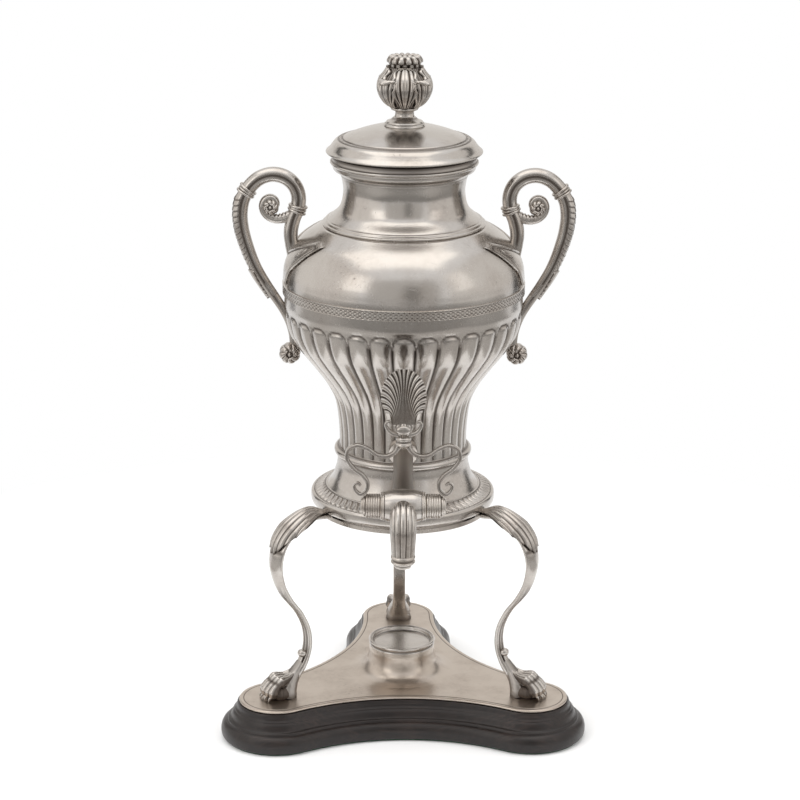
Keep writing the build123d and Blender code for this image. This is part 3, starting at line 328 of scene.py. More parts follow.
@dataclass(frozen=True)
class Plain(Finish):
    """Metal, felt or fibre of a small piece, mottled and slightly uneven."""

    colour: Colour
    mottle: Colour
    metallic: float = 0.0
    gloss: float = 0.5
    relief: float = 0.3

    def paint(self, graph: Graph, effects: Effects) -> dict[str, object]:
        """Two shades in soft patches, over a fine grain."""
        place = graph.place()
        cloud = graph.ramp(graph.noise(place, 90.0, 5.0), 0.35, 0.7)
        fine = graph.noise(place, 700.0, 3.0)
        return {
            "Base Color": graph.mix(cloud, self.colour, self.mottle),
            "Roughness": graph.between(fine, self.gloss - 0.1, self.gloss + 0.15),
            "Normal": graph.bump(fine, self.relief, 0.5 * MM),
            "Metallic": self.metallic,
        }


class Finishes:
    """The finishes of the urn, each built the first time that a piece asks for it."""

    body = Silver("silver_body", gloss=0.21)
    chased = Silver(
        "silver_chased", gloss=0.22, patch_size=16.0, patch_share=0.6, scratch=0.4, wave=0.2
    )
    plate = Silver(
        "silver_plate_satin", clean=(0.56, 0.495, 0.435), warm=(0.42, 0.350, 0.295),
        gloss=0.30, dull=0.5, patch_size=26.0, patch_share=0.5,
    )
    worn = Silver("silver_worn", clean=(0.58, 0.54, 0.50), gloss=0.27, patch_share=0.6, wave=0.3)
    wood = Wood("ebonised_wood")
    felt = Plain("green_felt", (0.03, 0.07, 0.045), (0.05, 0.10, 0.065), gloss=0.85, relief=0.8)
    brass = Plain("old_brass", (0.50, 0.37, 0.17), (0.30, 0.20, 0.10), 1.0, gloss=0.35)
    tin = Plain("tinned_copper", (0.52, 0.50, 0.47), (0.38, 0.33, 0.29), 1.0, gloss=0.4)
    steel = Plain("steel_screws", (0.36, 0.35, 0.34), (0.22, 0.20, 0.19), 1.0, gloss=0.35)
    fibre = Plain("red_fibre", (0.22, 0.07, 0.045), (0.14, 0.05, 0.035), gloss=0.7)

    def __init__(self) -> None:
        """Starts with no material built."""
        self.effects = Effects()
        self.built: dict[str, Material] = {}

    def material(self, finish: Finish) -> Material:
        """The material of a finish."""
        if finish.name not in self.built:
            self.built[finish.name] = finish.build(self.effects)
        return self.built[finish.name]


# ------------------------------------------------------------------ studio


@dataclass(frozen=True)
class Card:
    """A flat board that only the object's reflections show."""

    name: str
    place: Place
    turn: Place
    size: tuple[float, float]
    shade: float


@dataclass(frozen=True)
class Lamp:
    """An area lamp aimed at the urn."""

    name: str
    place: Place
    width: float
    power: float


class Studio:
    """White floor and world, soft lamps, reflection boards and the camera."""

    lens = 111.7
    sensor = 36.0
    camera_place = (-7.5, -1755, 781.5)
    camera_pitch, camera_yaw, camera_roll = 17.04, 0.17, 0.29
    aim = (0, 0, 260)
    white = (1.0, 1.0, 1.0, 1.0)
    floor_grey = (0.93, 0.93, 0.93, 1.0)
    # The floor turns to plain white between these distances from the urn, in metres.
    fade_from, fade_to = 0.28, 0.62
    floor_size = 12.0
    sky = 0.75
    sky_tint = (1.0, 0.99, 0.975, 1.0)
    card_tint = (1.0, 0.97, 0.93)
    lamps = (
        Lamp("lamp_key", (-1500, -900, 1900), 1500, 26),
        Lamp("lamp_fill", (1700, -600, 1500), 1500, 15),
        Lamp("lamp_top", (0, 300, 2200), 1600, 16),
    )
    cards = (
        Card("wall_left", (-1700, 0, 1000), (90, 0, 90), (3600, 2400), 0.98),
        Card("wall_right", (1700, 0, 1000), (90, 0, 90), (3600, 2400), 0.88),
        Card("wall_front", (0, -2600, 1200), (90, 0, 0), (3600, 2600), 0.62),
        Card("operator", (320, -2300, 800), (90, 0, 0), (560, 1500), 0.30),
        Card("flag_left", (-900, 760, 500), (90, 0, 40), (260, 1500), 0.03),
        Card("flag_right", (900, 760, 500), (90, 0, -40), (260, 1500), 0.03),
        Card("wall_back", (0, 1900, 1000), (90, 0, 0), (3600, 2400), 0.92),
        Card("table", (0, -1350, 4), (0, 0, 0), (3400, 1500), 0.30),
        Card("mat_front", (0, -440, 5), (0, 0, 0), (1500, 320), 0.62),
        Card("mat_left", (-525, -60, 5), (0, 0, 0), (450, 440), 0.68),
        Card("mat_right", (525, -60, 5), (0, 0, 0), (450, 440), 0.60),
        Card("table_left", (-1300, -50, 4), (0, 0, 0), (1100, 1100), 0.46),
        Card("table_right", (1300, -50, 4), (0, 0, 0), (1100, 1100), 0.38),
        Card("ceiling", (-200, -200, 2350), (0, 0, 0), (2600, 1700), 1.85),
        Card("softbox_left", (-1500, -1200, 1300), (90, 0, -52), (1000, 1300), 1.75),
        Card("softbox_right", (1550, -900, 1300), (90, 0, 60), (620, 1300), 1.35),
    )

    def seen(self, graph: Graph) -> Socket:
        """Is 1 for camera, glossy and transmission rays."""
        path = graph.add("LightPath").outputs
        seen = graph.math("MAXIMUM", path["Is Camera Ray"], path["Is Glossy Ray"])
        return graph.math("MAXIMUM", seen, path["Is Transmission Ray"])

    def blend(self, graph: Graph, share: Socket, *shaders: bpy.types.Node) -> dict[str, Socket]:
        """Mixes two shaders by share, as the input of an output node."""
        first, second = (shader.outputs[0] for shader in shaders)
        return {"Surface": graph.add("MixShader", {0: share, 1: first, 2: second}).outputs[0]}

    def world(self) -> None:
        """Makes the world: white where it is seen, softer as a light."""
        world = bpy.data.worlds.new("studio_world")
        bpy.context.scene.world = world
        graph = Graph.of(world)
        seen = graph.add("Background", {"Color": self.white, "Strength": 1.0})
        light = graph.add("Background", {"Color": self.sky_tint, "Strength": self.sky})
        graph.add("OutputWorld", self.blend(graph, self.seen(graph), light, seen))

    def floor(self) -> None:
        """Makes the floor, which shows the urn's soft shadow on white."""
        bpy.ops.mesh.primitive_plane_add(size=self.floor_size)
        floor = bpy.context.object
        floor.name = "floor"
        material = bpy.data.materials.new("floor_white")
        graph = Graph.of(material)
        surface = graph.add("BsdfDiffuse", {"Color": self.floor_grey, "Roughness": 0.0})
        glow = graph.add("Emission", {"Color": self.white, "Strength": 1.0})
        away = graph.add("VectorMath", {0: graph.place()}, operation="LENGTH").outputs["Value"]
        far = graph.ramp(away, self.fade_from, self.fade_to)
        share = graph.times(self.seen(graph), far)
        graph.add("OutputMaterial", self.blend(graph, share, surface, glow))
        floor.data.materials.append(material)

    def light(self) -> None:
        """Adds the lamps, each aimed at the middle of the urn."""
        for lamp in self.lamps:
            data = bpy.data.lights.new(lamp.name, "AREA")
            data.size = lamp.width * MM
            data.energy = lamp.power
            holder = bpy.data.objects.new(lamp.name, data)
            bpy.context.scene.collection.objects.link(holder)
            holder.location = Vector(lamp.place) * MM
            toward = Vector(self.aim) * MM - Vector(lamp.place) * MM
            holder.rotation_euler = toward.to_track_quat("-Z", "Y").to_euler()
            holder.visible_glossy = False

    def boards(self) -> None:
        """Stands the reflection boards, unseen by the camera."""
        for card in self.cards:
            turn = tuple(map(math.radians, card.turn))
            place = Vector(card.place) * MM
            bpy.ops.mesh.primitive_plane_add(size=1.0, location=place, rotation=turn)
            board = bpy.context.object
            board.name = card.name
            board.scale = (card.size[0] * MM, card.size[1] * MM, 1.0)
            material = bpy.data.materials.new(card.name)
            graph = Graph.of(material)
            shade = (*(card.shade * part for part in self.card_tint), 1.0)
            glow = graph.add("Emission", {"Color": shade, "Strength": 1.0})
            graph.add("OutputMaterial", {"Surface": glow.outputs[0]})
            board.data.materials.append(material)
            board.visible_camera = board.visible_diffuse = False
            board.visible_shadow = board.visible_transmission = False

    def camera(self) -> None:
        """Stands the camera where the photograph was taken."""
        data = bpy.data.cameras.new("camera")
        data.lens = self.lens
        data.sensor_width = self.sensor
        data.clip_start, data.clip_end = 0.05, 50.0
        camera = bpy.data.objects.new("camera", data)
        bpy.context.scene.collection.objects.link(camera)
        camera.location = Vector(self.camera_place) * MM
        pitch, yaw = math.radians(90.0 - self.camera_pitch), -math.radians(self.camera_yaw)
        roll = Matrix.Rotation(math.radians(self.camera_roll), 3, "Z")
        camera.rotation_euler = (Euler((pitch, 0.0, yaw)).to_matrix() @ roll).to_euler()
        bpy.context.scene.camera = camera

    def build(self) -> None:
        """Sets up the whole studio."""
        bpy.context.scene.view_settings.view_transform = "Standard"
        for step in (self.world, self.floor, self.light, self.boards, self.camera):
            step()
        log.info("studio: %d lamps, %d boards", len(self.lamps), len(self.cards))


# ------------------------------------------------------------------- bench


def bump_at(value: Array, centre: float, width: float) -> Array:
    """A round bump of height 1 at centre, down to 0 at half the width away."""
    return 0.5 + 0.5 * np.cos(np.pi * np.clip(np.abs(value - centre) / (width / 2), 0.0, 1.0))


def bell(value: Array, centre: float, width: float) -> Array:
    """A bell curve of height 1 at centre."""
    return np.exp(-(((value - centre) / width) ** 2))


def dome(*parts: Array) -> Array:
    """Height of a unit ball over a point this far from its middle, 0 outside."""
    return np.sqrt(np.clip(1.0 - sum(part**2 for part in parts), 0.0, 1.0))


def ease(value: Array, low: float, high: float) -> Array:
    """Rises smoothly from 0 at low to 1 at high."""
    share = np.clip((value - low) / (high - low), 0.0, 1.0)
    return share * share * (3.0 - 2.0 * share)


def tooth(turn: Array) -> Array:
    """Runs from 1 at whole numbers down to 0 midway between them."""
    return np.abs(2.0 * (turn % 1.0) - 1.0)


def most(*values: Array) -> Array:
    """The largest of the values, point by point."""
    return np.maximum.reduce(np.broadcast_arrays(*values))


def squared(value: Array, power: float) -> Array:
    """A sine or cosine raised to a power, its sign kept, for sections with blunt corners."""
    return np.sign(value) * np.abs(value) ** power


def oval(radius: Array, angle: Array, hollow: Array, wide: float = 1.0) -> Cut:
    """A round section, wide times as far along the route's normal as to the side."""
    return radius * np.cos(angle), wide * radius * np.sin(angle), hollow


class Route:
    """A smooth curve through points, with a frame across it at every place."""

    def __init__(self, points: Sequence[Place], normal: Place = (0, 1, 0)) -> None:
        """Takes the points and a direction that lies across the whole curve."""
        self.points = np.array(points, float)
        self.normal = np.array(normal, float)
        steps = np.linalg.norm(np.diff(self.points, axis=0), axis=1)
        self.places = np.concatenate([[0.0], np.cumsum(steps)])
        self.places /= self.places[-1]
        self.slopes = np.gradient(self.points, self.places, axis=0)

    @classmethod
    def level(cls, points: Points, y: float = 0.0) -> "Route":
        """A curve through points of (x, z) in a plane of one y."""
        return cls([(x, y, z) for x, z in points])

    def at(self, place: Array) -> Array:
        """Points at places from 0 to 1 along the curve."""
        k = np.clip(np.searchsorted(self.places, place, "right") - 1, 0, len(self.places) - 2)
        run = (self.places[k + 1] - self.places[k])[:, None]
        t = (place - self.places[k])[:, None] / run
        share = 3 * t**2 - 2 * t**3
        straight = (1 - share) * self.points[k] + share * self.points[k + 1]
        bend = (t**3 - 2 * t**2 + t) * self.slopes[k] + (t**3 - t**2) * self.slopes[k + 1]
        return straight + bend * run

    def frames(self, place: Array) -> tuple[Array, Array, Array]:
        """Points, directions along and directions to the side, at places along the curve."""
        gap = 1e-4
        along = self.at(np.clip(place + gap, 0.0, 1.0)) - self.at(np.clip(place - gap, 0.0, 1.0))
        along /= np.linalg.norm(along, axis=1)[:, None]
        aside = np.cross(self.normal, along)
        aside /= np.linalg.norm(aside, axis=1)[:, None]
        return self.at(place), along, aside


def smooth(points: Points, rows: int) -> list[tuple[float, float]]:
    """Points at even steps on a smooth curve through the given points.

    Args:
        points: The points that the curve goes through.
        rows: How many points to return.

    Returns:
        The new points, the first and last of them as given.
    """
    place = Route.level(points).at(np.linspace(0.0, 1.0, rows))
    return [(float(x), float(z)) for x, _, z in place]


class Bench:
    """A sub-assembly, with the modelling moves that all sub-assemblies share."""

    body = Body.URN

    def __init__(self, finishes: Finishes, size: object) -> None:
        """Takes the finishes that pieces are dressed with, and the sub-assembly's sizes."""
        self.finishes = finishes
        self.size = size

    def lathe(self, name: str, outline: Points, steps: int = 192) -> Piece:
        """Turns an outline about Z.

        Args:
            name: Name of the piece.
            outline: Points of (radius, height); closed, or from axis to axis.
            steps: Number of steps in a full turn.

        Returns:
            The turned piece.
        """
        bpy.ops.mesh.primitive_plane_add(size=MM)
        piece = bpy.context.object
        piece.name = name
        bpy.ops.object.mode_set(mode="EDIT")
        bpy.context.tool_settings.mesh_select_mode = (True, False, False)
        bpy.ops.mesh.merge(type="CENTER")
        bpy.ops.transform.translate(value=(outline[0][0] * MM, 0.0, outline[0][1] * MM))
        for (r0, z0), (r1, z1) in zip(outline, outline[1:]):
            move = ((r1 - r0) * MM, 0.0, (z1 - z0) * MM)
            bpy.ops.mesh.extrude_region_move(TRANSFORM_OT_translate={"value": move})
        bpy.ops.mesh.select_all(action="SELECT")
        bpy.ops.mesh.spin(steps=steps, angle=math.tau, center=(0, 0, 0), axis=(0, 0, 1))
        bpy.ops.mesh.select_all(action="SELECT")
        bpy.ops.mesh.remove_doubles(threshold=WELD * MM)
        bpy.ops.mesh.normals_make_consistent(inside=False)
        bpy.ops.object.mode_set(mode="OBJECT")
        return piece

    def reshape(self, piece: Piece, shape: Shape) -> Piece:
        """Moves every point of a piece and stains its hollows.

        Args:
            piece: The piece to change.
            shape: Gets x, y and z, and returns the new ones and the depth of the hollow, 0 to 1.

        Returns:
            The same piece.
        """
        mesh = piece.data
        flat = np.empty(len(mesh.vertices) * 3)
        mesh.vertices.foreach_get("co", flat)
        moved = np.stack(np.broadcast_arrays(*shape(*(flat.reshape(-1, 3).T / MM))), axis=1)
        mesh.vertices.foreach_set("co", (moved[:, :3] * MM).ravel())
        found = mesh.attributes.get(HOLLOW) or mesh.attributes.new(HOLLOW, "FLOAT", "POINT")
        found.data.foreach_set("value", np.clip(moved[:, 3], 0.0, 1.0).astype(np.float32))
        mesh.update()
        return piece

    def emboss(self, piece: Piece, relief: Relief) -> Piece:
        """Raises a relief on a turned piece and stains its hollows.

        Args:
            piece: The piece to change, its axis on Z.
            relief: Gets radius, turn (a full turn is 1) and height, and returns the new radius
                and height, and the depth of the hollow.

        Returns:
            The same piece.
        """

        def shape(x: Array, y: Array, z: Array) -> Moved:
            """Keeps every point's bearing."""
            r = np.hypot(x, y)
            grown, height, hollow = relief(r, np.arctan2(y, x) / math.tau, z)
            scale = grown / np.maximum(r, 1e-6)
            return x * scale, y * scale, height, hollow

        return self.reshape(piece, shape)

    def swept(
        self, name: str, route: Route, section: Section, rows: int, around: int
    ) -> Piece:
        """Carries a section along a route.

        Args:
            name: Name of the piece.
            route: The curve that the section follows.
            section: Gets the place along the route and the angle round it, and returns the
                distance to the side, the distance along the route's normal, and the hollow.
            rows: Number of stations along the route.
            around: Number of points round the section.

        Returns:
            The swept piece, closed at both ends.
        """

        def shape(x: Array, y: Array, z: Array) -> Moved:
            """Puts each point of the sleeve on its station."""
            place = np.clip(z / (rows - 1), 0.0, 1.0)
            centre, _, aside = route.frames(place)
            side, out, hollow = section(place, np.arctan2(y, x))
            reach = np.hypot(x, y)[:, None]
            moved = centre + reach * (side[:, None] * aside + out[:, None] * route.normal)
            return *moved.T, hollow

        return self.face_out(self.reshape(self.blank(name, rows, around), shape))

    def blank(self, name: str, rows: int, around: int) -> Piece:
        """A closed straight sleeve: rows levels one apart, radius 1, with a point at each end."""
        wall = [(1.0, float(row)) for row in range(rows)]
        return self.lathe(name, [(0.0, -0.5), *wall, (0.0, rows - 0.5)], around)

    def sheet(self, name: str, columns: int, rows: int) -> Piece:
        """A flat grid over x and y from 0 to 1 millimetre, to be reshaped."""
        bpy.ops.mesh.primitive_grid_add(
            x_subdivisions=columns, y_subdivisions=rows, size=MM, location=(MM / 2, MM / 2, 0.0)
        )
        piece = bpy.context.object
        piece.name = name
        bpy.ops.object.transform_apply(location=True, rotation=True, scale=True)
        return piece

    def thicken(self, piece: Piece, depth: float, offset: float = -1.0) -> Piece:
        """Gives a sheet a thickness in millimetres, inward by default."""
        bpy.context.view_layer.objects.active = piece
        wall = piece.modifiers.new("wall", "SOLIDIFY")
        wall.thickness = depth * MM
        wall.offset = offset
        bpy.ops.object.modifier_apply(modifier=wall.name)
        return piece

    def face_out(self, piece: Piece) -> Piece:
        """Turns all faces of a closed piece outward."""
        self.pick(piece)
        bpy.ops.object.mode_set(mode="EDIT")
        bpy.ops.mesh.select_all(action="SELECT")
        bpy.ops.mesh.normals_make_consistent(inside=False)
        bpy.ops.object.mode_set(mode="OBJECT")
        return piece

    def pick(self, *pieces: Piece) -> None:
        """Selects these pieces only, the first as the active one."""
        bpy.ops.object.select_all(action="DESELECT")
        for piece in pieces:
            piece.select_set(True)
        bpy.context.view_layer.objects.active = pieces[0]

    def turned(self, piece: Piece, angle: float, axis: str = "Z") -> Piece:
        """Turns a piece's mesh about an axis of the frame."""
        piece.data.transform(Matrix.Rotation(math.radians(angle), 4, axis))
        return piece

    def moved(self, piece: Piece, move: Place) -> Piece:
        """Moves a piece's mesh."""
        piece.data.transform(Matrix.Translation(Vector(move) * MM))
        return piece

    def on_plug(self, name: str, outline: Points, steps: int = 96) -> Piece:
        """A turned piece on the tap plug's level axis; outline points are (radius, x)."""
        piece = self.turned(self.lathe(name, outline, steps), 90, "Y")
        return self.moved(piece, (0, PLUG_Y, PLUG_Z))

    def twin(self, piece: Piece, name: str) -> Piece:
        """A copy of a piece, with a mesh of its own."""
        twin = piece.copy()
        twin.data = piece.data.copy()
        twin.name = name
        bpy.context.scene.collection.objects.link(twin)
        return twin

    def mirrored(self, piece: Piece, name: str) -> Piece:
        """A copy on the other side of the YZ plane."""
        twin = self.twin(piece, name)
        twin.data.transform(Matrix.Scale(-1.0, 4, (1.0, 0.0, 0.0)))
        return self.face_out(twin)

    def copies(self, piece: Piece, angles: Sequence[float]) -> Piece:
        """Copies a piece round Z, joined to the first: angles are of the further copies."""
        return self.joined(piece, *(self.turned(self.twin(piece, piece.name), a) for a in angles))

    def joined(self, piece: Piece, *others: Piece) -> Piece:
        """Joins others into a piece and returns it."""
        self.pick(piece, *others)
        bpy.ops.object.join()
        return piece

    def finish(
        self, piece: Piece, finish: Finish, *nodes: str,
        crease: float = 40, slot: Slot = Slot.SILVER,
    ) -> Piece:
        """Dresses a piece and puts it in the frame.

        Args:
            piece: The piece, in place.
            finish: What it is made of.
            nodes: CAD nodes that it stands for.
            crease: Edges sharper than this many degrees stay sharp.
            slot: The record's material slot; not used.

        Returns:
            The piece.
        """
        self.pick(piece)
        bpy.ops.object.shade_smooth_by_angle(angle=math.radians(crease))
        piece.data.materials.clear()
        piece.data.materials.append(self.finishes.material(finish))
        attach(piece, self.body.value)
        if nodes:
            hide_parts(*nodes)
        log.info("%s: %d faces, %s", piece.name, len(piece.data.polygons), finish.name)
        return piece

    def stained(self, piece: Piece, depth: float, marks: Points) -> Piece:
        """Stains a turned piece in grooves; marks are (height, width)."""

        def relief(r: Array, turn: Array, z: Array) -> Cut:
            """Leaves the shape as it is."""
            return r, z, depth * most(*(bump_at(z, height, width) for height, width in marks))

        return self.emboss(piece, relief)

    def spun(
        self, name: str, outline: Points, steps: int, finish: Finish, *nodes: str,
        relief: Relief | None = None, crease: float = 40,
    ) -> Piece:
        """Turns an outline, raises its relief if it has one, and finishes it."""
        piece = self.lathe(name, outline, steps)
        if relief:
            self.emboss(piece, relief)
        return self.finish(piece, finish, *nodes, crease=crease)


# ------------------------------------------------------------------ vessel


@dataclass
class VesselSize:
    """Sizes of the vessel's lobes and bands."""

    lobes: int = 32
    steps_per_lobe: int = 16
    lobe_depth: float = 3.0
    arch_top: float = 314.4
    arch_rise: float = 7.0
    arch_line: float = 0.55
    belly_r: float = 87.1
    joint_z: float = 331.0
    band_half: float = 3.9
    lozenges: int = 150
    leaves: int = 72
    leaf_slope: tuple[float, float] = (0.46, 0.89)


class Vessel(Bench):
    """Gadrooned bowl, belly, shoulder, neck and rim of the urn, and its foot."""

    swells = (
        (210.2, 47.0, 0.4), (217.0, 46.9, 0.6), (224.0, 47.2, 0.66), (232.0, 47.9, 0.75),
        (240.0, 49.0, 0.85), (247.0, 50.6, 0.9), (258.0, 55.8, 1.0), (271.0, 65.0, 1.0),
        (284.0, 75.2, 1.0), (292.0, 80.8, 1.0), (300.0, 84.4, 1.0), (306.0, 86.0, 1.0),
        (311.0, 86.7, 1.0), (317.0, 87.1, 1.0),
    )
    shoulder = ((87.1, 338), (86.2, 346.5), (82.6, 356), (75.5, 366), (60.1, 377.2))
    neck = ((55.5, 381.4), (47, 389.4), (44, 402), (45.5, 413.5))

    def bowl(self) -> None:
        """Lower half: convex lobes with sharp valleys, each ending in a round chased arch."""
        size = self.size
        heights, radii, shares = zip(*self.swells)
        crest = smooth(list(zip(radii, heights)), 84)
        plain = [(size.belly_r, float(z)) for z in np.linspace(319.0, size.joint_z, 6)]
        inside = smooth([(82.1, size.joint_z), (80, 305), (61, 272), (45, 240), (43, 210.2)], 16)

        def relief(r: Array, turn: Array, z: Array) -> Cut:
            """Sinks the valleys and the chased line round each arch, and darkens them: tarnish in
            the valleys, and along each arch tarnish plus painted shade.
            """
            across = tooth(turn * size.lobes + 0.5)
            drop = 1.0 - dome(across)
            arch = size.arch_top - size.arch_rise * drop
            in_lobe = ease(arch - z, 0.0, 2.2)
            depth = np.interp(z, heights, shares) * size.lobe_depth
            sunk = depth * (0.35 * across**2 + 0.65 * drop)
            apron = 0.9 * (1.0 - ease(z, size.arch_top + 0.5, size.arch_top + 5.0))
            fall = in_lobe * sunk + (1.0 - in_lobe) * apron + 0.55 * bell(z, arch, size.arch_line)
            valley = ease(across, 0.66, 0.96) * ease(arch - z, -0.5, 1.0)
            # The dark line along each arch is partly tarnish in the chased line and partly painted
            # shade where the lobe's rounded top stands out.
            dark = most(0.80 * valley, 0.95 * bell(z, arch, 1.0))
            outer = r > np.interp(z, heights, radii) - 2.0
            return r - outer * fall, z, outer * dark * (0.70 + 0.30 * ease(z, 215.0, 290.0))

        self.spun(
            "gadrooned_bowl", [*crest, *plain, *inside, crest[0]], size.lobes * size.steps_per_lobe,
            Finishes.body, "lower_body", "vessel_waist", relief=relief, crease=55,
        )

    def top(self) -> None:
        """Upper half: belly, shoulder, ledge and neck, of one smooth line."""
        joint = (self.size.belly_r, self.size.joint_z)
        loop = [
            joint, (joint[0], 335), *smooth(self.shoulder, 40), (58, 377.2), (56, 377.2),
            (55.6, 380.6), *smooth(self.neck, 34), (45.6, 428.4), (43.9, 428.4),
            *smooth([(43.9, 413.5), (42.4, 402), (45.4, 388.6), (53, 380)], 12),
            *smooth([(58.6, 375.6), (74.4, 364.4), (81, 355), (84.6, 346), (85.4, 338)], 16),
            (85.4, 331), joint,
        ]
        self.spun("shoulder_and_neck", loop, 224, Finishes.body, "upper_body", "neck", crease=50)

    def band(self) -> None:
        """Stamped band at the waist: a lattice of lozenges between two raised lines."""
        size, r0 = self.size, self.size.belly_r
        low, high = size.joint_z - size.band_half, size.joint_z + size.band_half
        face = [(r0 + 1.0, float(z)) for z in np.linspace(low + 0.5, high - 0.5, 17)]
        start = (r0 - 0.6, low)

        def relief(r: Array, turn: Array, z: Array) -> Cut:
            """Raises the stamped pattern."""
            u = (turn * size.lozenges) % 1.0
            v = (z - size.joint_z) / (size.band_half - 0.9)
            lattice = 0.5 + 0.5 * np.cos(math.tau * u) * np.cos(2.4 * math.pi * v)
            pattern = np.clip(lattice + 0.4 * bell(u, 0.5, 0.16) * bell(v, 0.0, 0.22), 0.0, 1.0)
            inside = np.abs(v) < 1.0
            edge = bump_at(np.abs(z - size.joint_z), size.band_half - 0.45, 1.1)
            outer = r > r0 + 0.7
            lift = np.minimum(0.42 * inside * pattern + 0.35 * edge, 0.34) - 0.04
            return r + outer * lift, z, 0.8 * outer * inside * ease(0.62 - pattern, 0.0, 0.5)

        loop = [start, (r0 + 0.5, low), *face, (r0 + 0.5, high), (r0 - 0.6, high), start]
        self.spun("waist_band", loop, 1680, Finishes.chased, "waist_band", relief=relief, crease=60)

    def ring(self) -> None:
        """Stepped ring where the neck stands on the shoulder."""
        loop = [
            (55.4, 377), (57.9, 377), (58.7, 377.5), (59.1, 378.1), (59.1, 378.8), (58.5, 379.3),
            (57.6, 379.5), (57.3, 379.9), (57.4, 380.5), (56.9, 381.1), (56.2, 381.4),
            (55.4, 381.4), (55.4, 377),
        ]
        self.spun("neck_ring", loop, 224, Finishes.body, "shoulder_ring", crease=70)

    def collar(self) -> None:
        """Flared rim of the neck, with fine turned rings under the lid."""
        swell = smooth([(45.7, 412.8), (46.9, 415.5), (51.2, 418.1), (52, 421.5)], 16)
        rings = [
            (52.4, 421.7), (53.1, 422), (53.5, 422.7), (53.4, 423.5), (52.7, 424), (52.3, 424.3),
            (52.2, 425.6), (52.3, 427), (52.1, 428), (51.6, 428.4), (45.4, 428.4), (45.4, 413),
        ]

        def relief(r: Array, turn: Array, z: Array) -> Cut:
            """Stains the grooves between the rings."""
            groove = most(bump_at(z, 424.2, 1.0), ease(z, 424.6, 427.6))
            return r, z, 0.9 * np.where(r > 50.0, groove, 0.7 * bump_at(z, 414.0, 2.0))

        loop = [*swell, *rings, swell[0]]
        self.spun("rim_collar", loop, 224, Finishes.body, "rim_collar", relief=relief, crease=60)

    def foot(self) -> None:
        """Hollow cone under the bowl and the beaded ring on top of it."""
        cone = smooth([(56.4, 180), (52.6, 184.6), (50.5, 190), (48.7, 197), (48.4, 203.8)], 20)
        loop = [
            *cone, *smooth([(48.9, 203.9), (50.5, 205.3), (50.6, 208), (48.6, 209.6)], 12),
            (47.6, 209.8), (47.2, 210.4), (44.4, 210.4), (44.4, 203.8), (46.4, 203.6),
            *smooth([(46.4, 203), (48.4, 190), (54, 180)], 8), cone[0],
        ]
        piece = self.stained(self.lathe("foot_cone", loop), 0.75, ((203.9, 2.4), (209.9, 1.8)))
        self.finish(piece, Finishes.body, "foot_cone", "lower_ring")

    def flange(self) -> None:
        """Wide moulded flange: slanted leaves between an inner line and an outer bead."""
        size = self.size
        rim = [(66, 167.5), (67.8, 168.2), (68.2, 170), (68.2, 173), (67.9, 174.8), (66.9, 175.7)]
        loop = [
            *smooth(rim, 12), (66.3, 175.7), (65.8, 175.4),
            *((65.4 - 0.36 * k, 175.6 + 0.185 * k) for k in range(22)),
            (57.5, 179.7), (57.2, 180.2), (56.6, 180.5), (56.1, 180.4), (55.8, 180), (50, 180),
            (50, 167.5), rim[0],
        ]
        aside, up = (part / np.hypot(*size.leaf_slope) for part in size.leaf_slope)

        def relief(r: Array, turn: Array, z: Array) -> Cut:
            """Raises the slanted leaves on the sloping field."""
            v = np.clip((65.6 - r) / 7.9, 0.0, 1.0)
            top = z > 175.0
            field = (r > 57.6) & (r < 65.6) & top
            across = tooth(turn * size.leaves + 0.55 * v)
            width = dome(2.0 * v - 1.0)
            leaf = dome(across / np.maximum(0.86 * width, 0.05))
            vein = 0.45 * bell(across, 0.0, 0.16) * width
            pattern = leaf - vein + 0.6 * bell(across, 1.0, 0.12) * (1.0 - v)
            lift = 0.75 * field * pattern
            lines = most(0.7 * bump_at(r, 65.9, 1.0), 0.8 * bump_at(r, 57.5, 0.9)) * top
            dark = most(0.75 * field * ease(0.22 - pattern, 0.0, 0.4), lines)
            return r + lift * aside, z + lift * up, dark

        self.spun("foot_flange", loop, 1152, Finishes.body, "foot_flange", relief=relief, crease=60)

    def build(self) -> None:
        """Makes all pieces of the vessel."""
        pieces = (self.bowl, self.top, self.band, self.ring, self.collar, self.foot, self.flange)
        for make in pieces:
            make()


# --------------------------------------------------------------------- lid


@dataclass
class LidSize:
    """Sizes of the lid's stamped band and of the finial."""

    dots: int = 150
    band_in: float = 45.0
    band_out: float = 47.4
    knop_z: float = 462.8
    leaves: int = 4
    reeds: int = 40
    petals: int = 14


@dataclass
class LeafSize:
    """One acanthus leaf: its root and bend above the core's seat, half its width in degrees,
    how far its tip curls out, and how far it stands off the core."""

    low: float
    high: float
    half: float
    curl: float
    lift: float


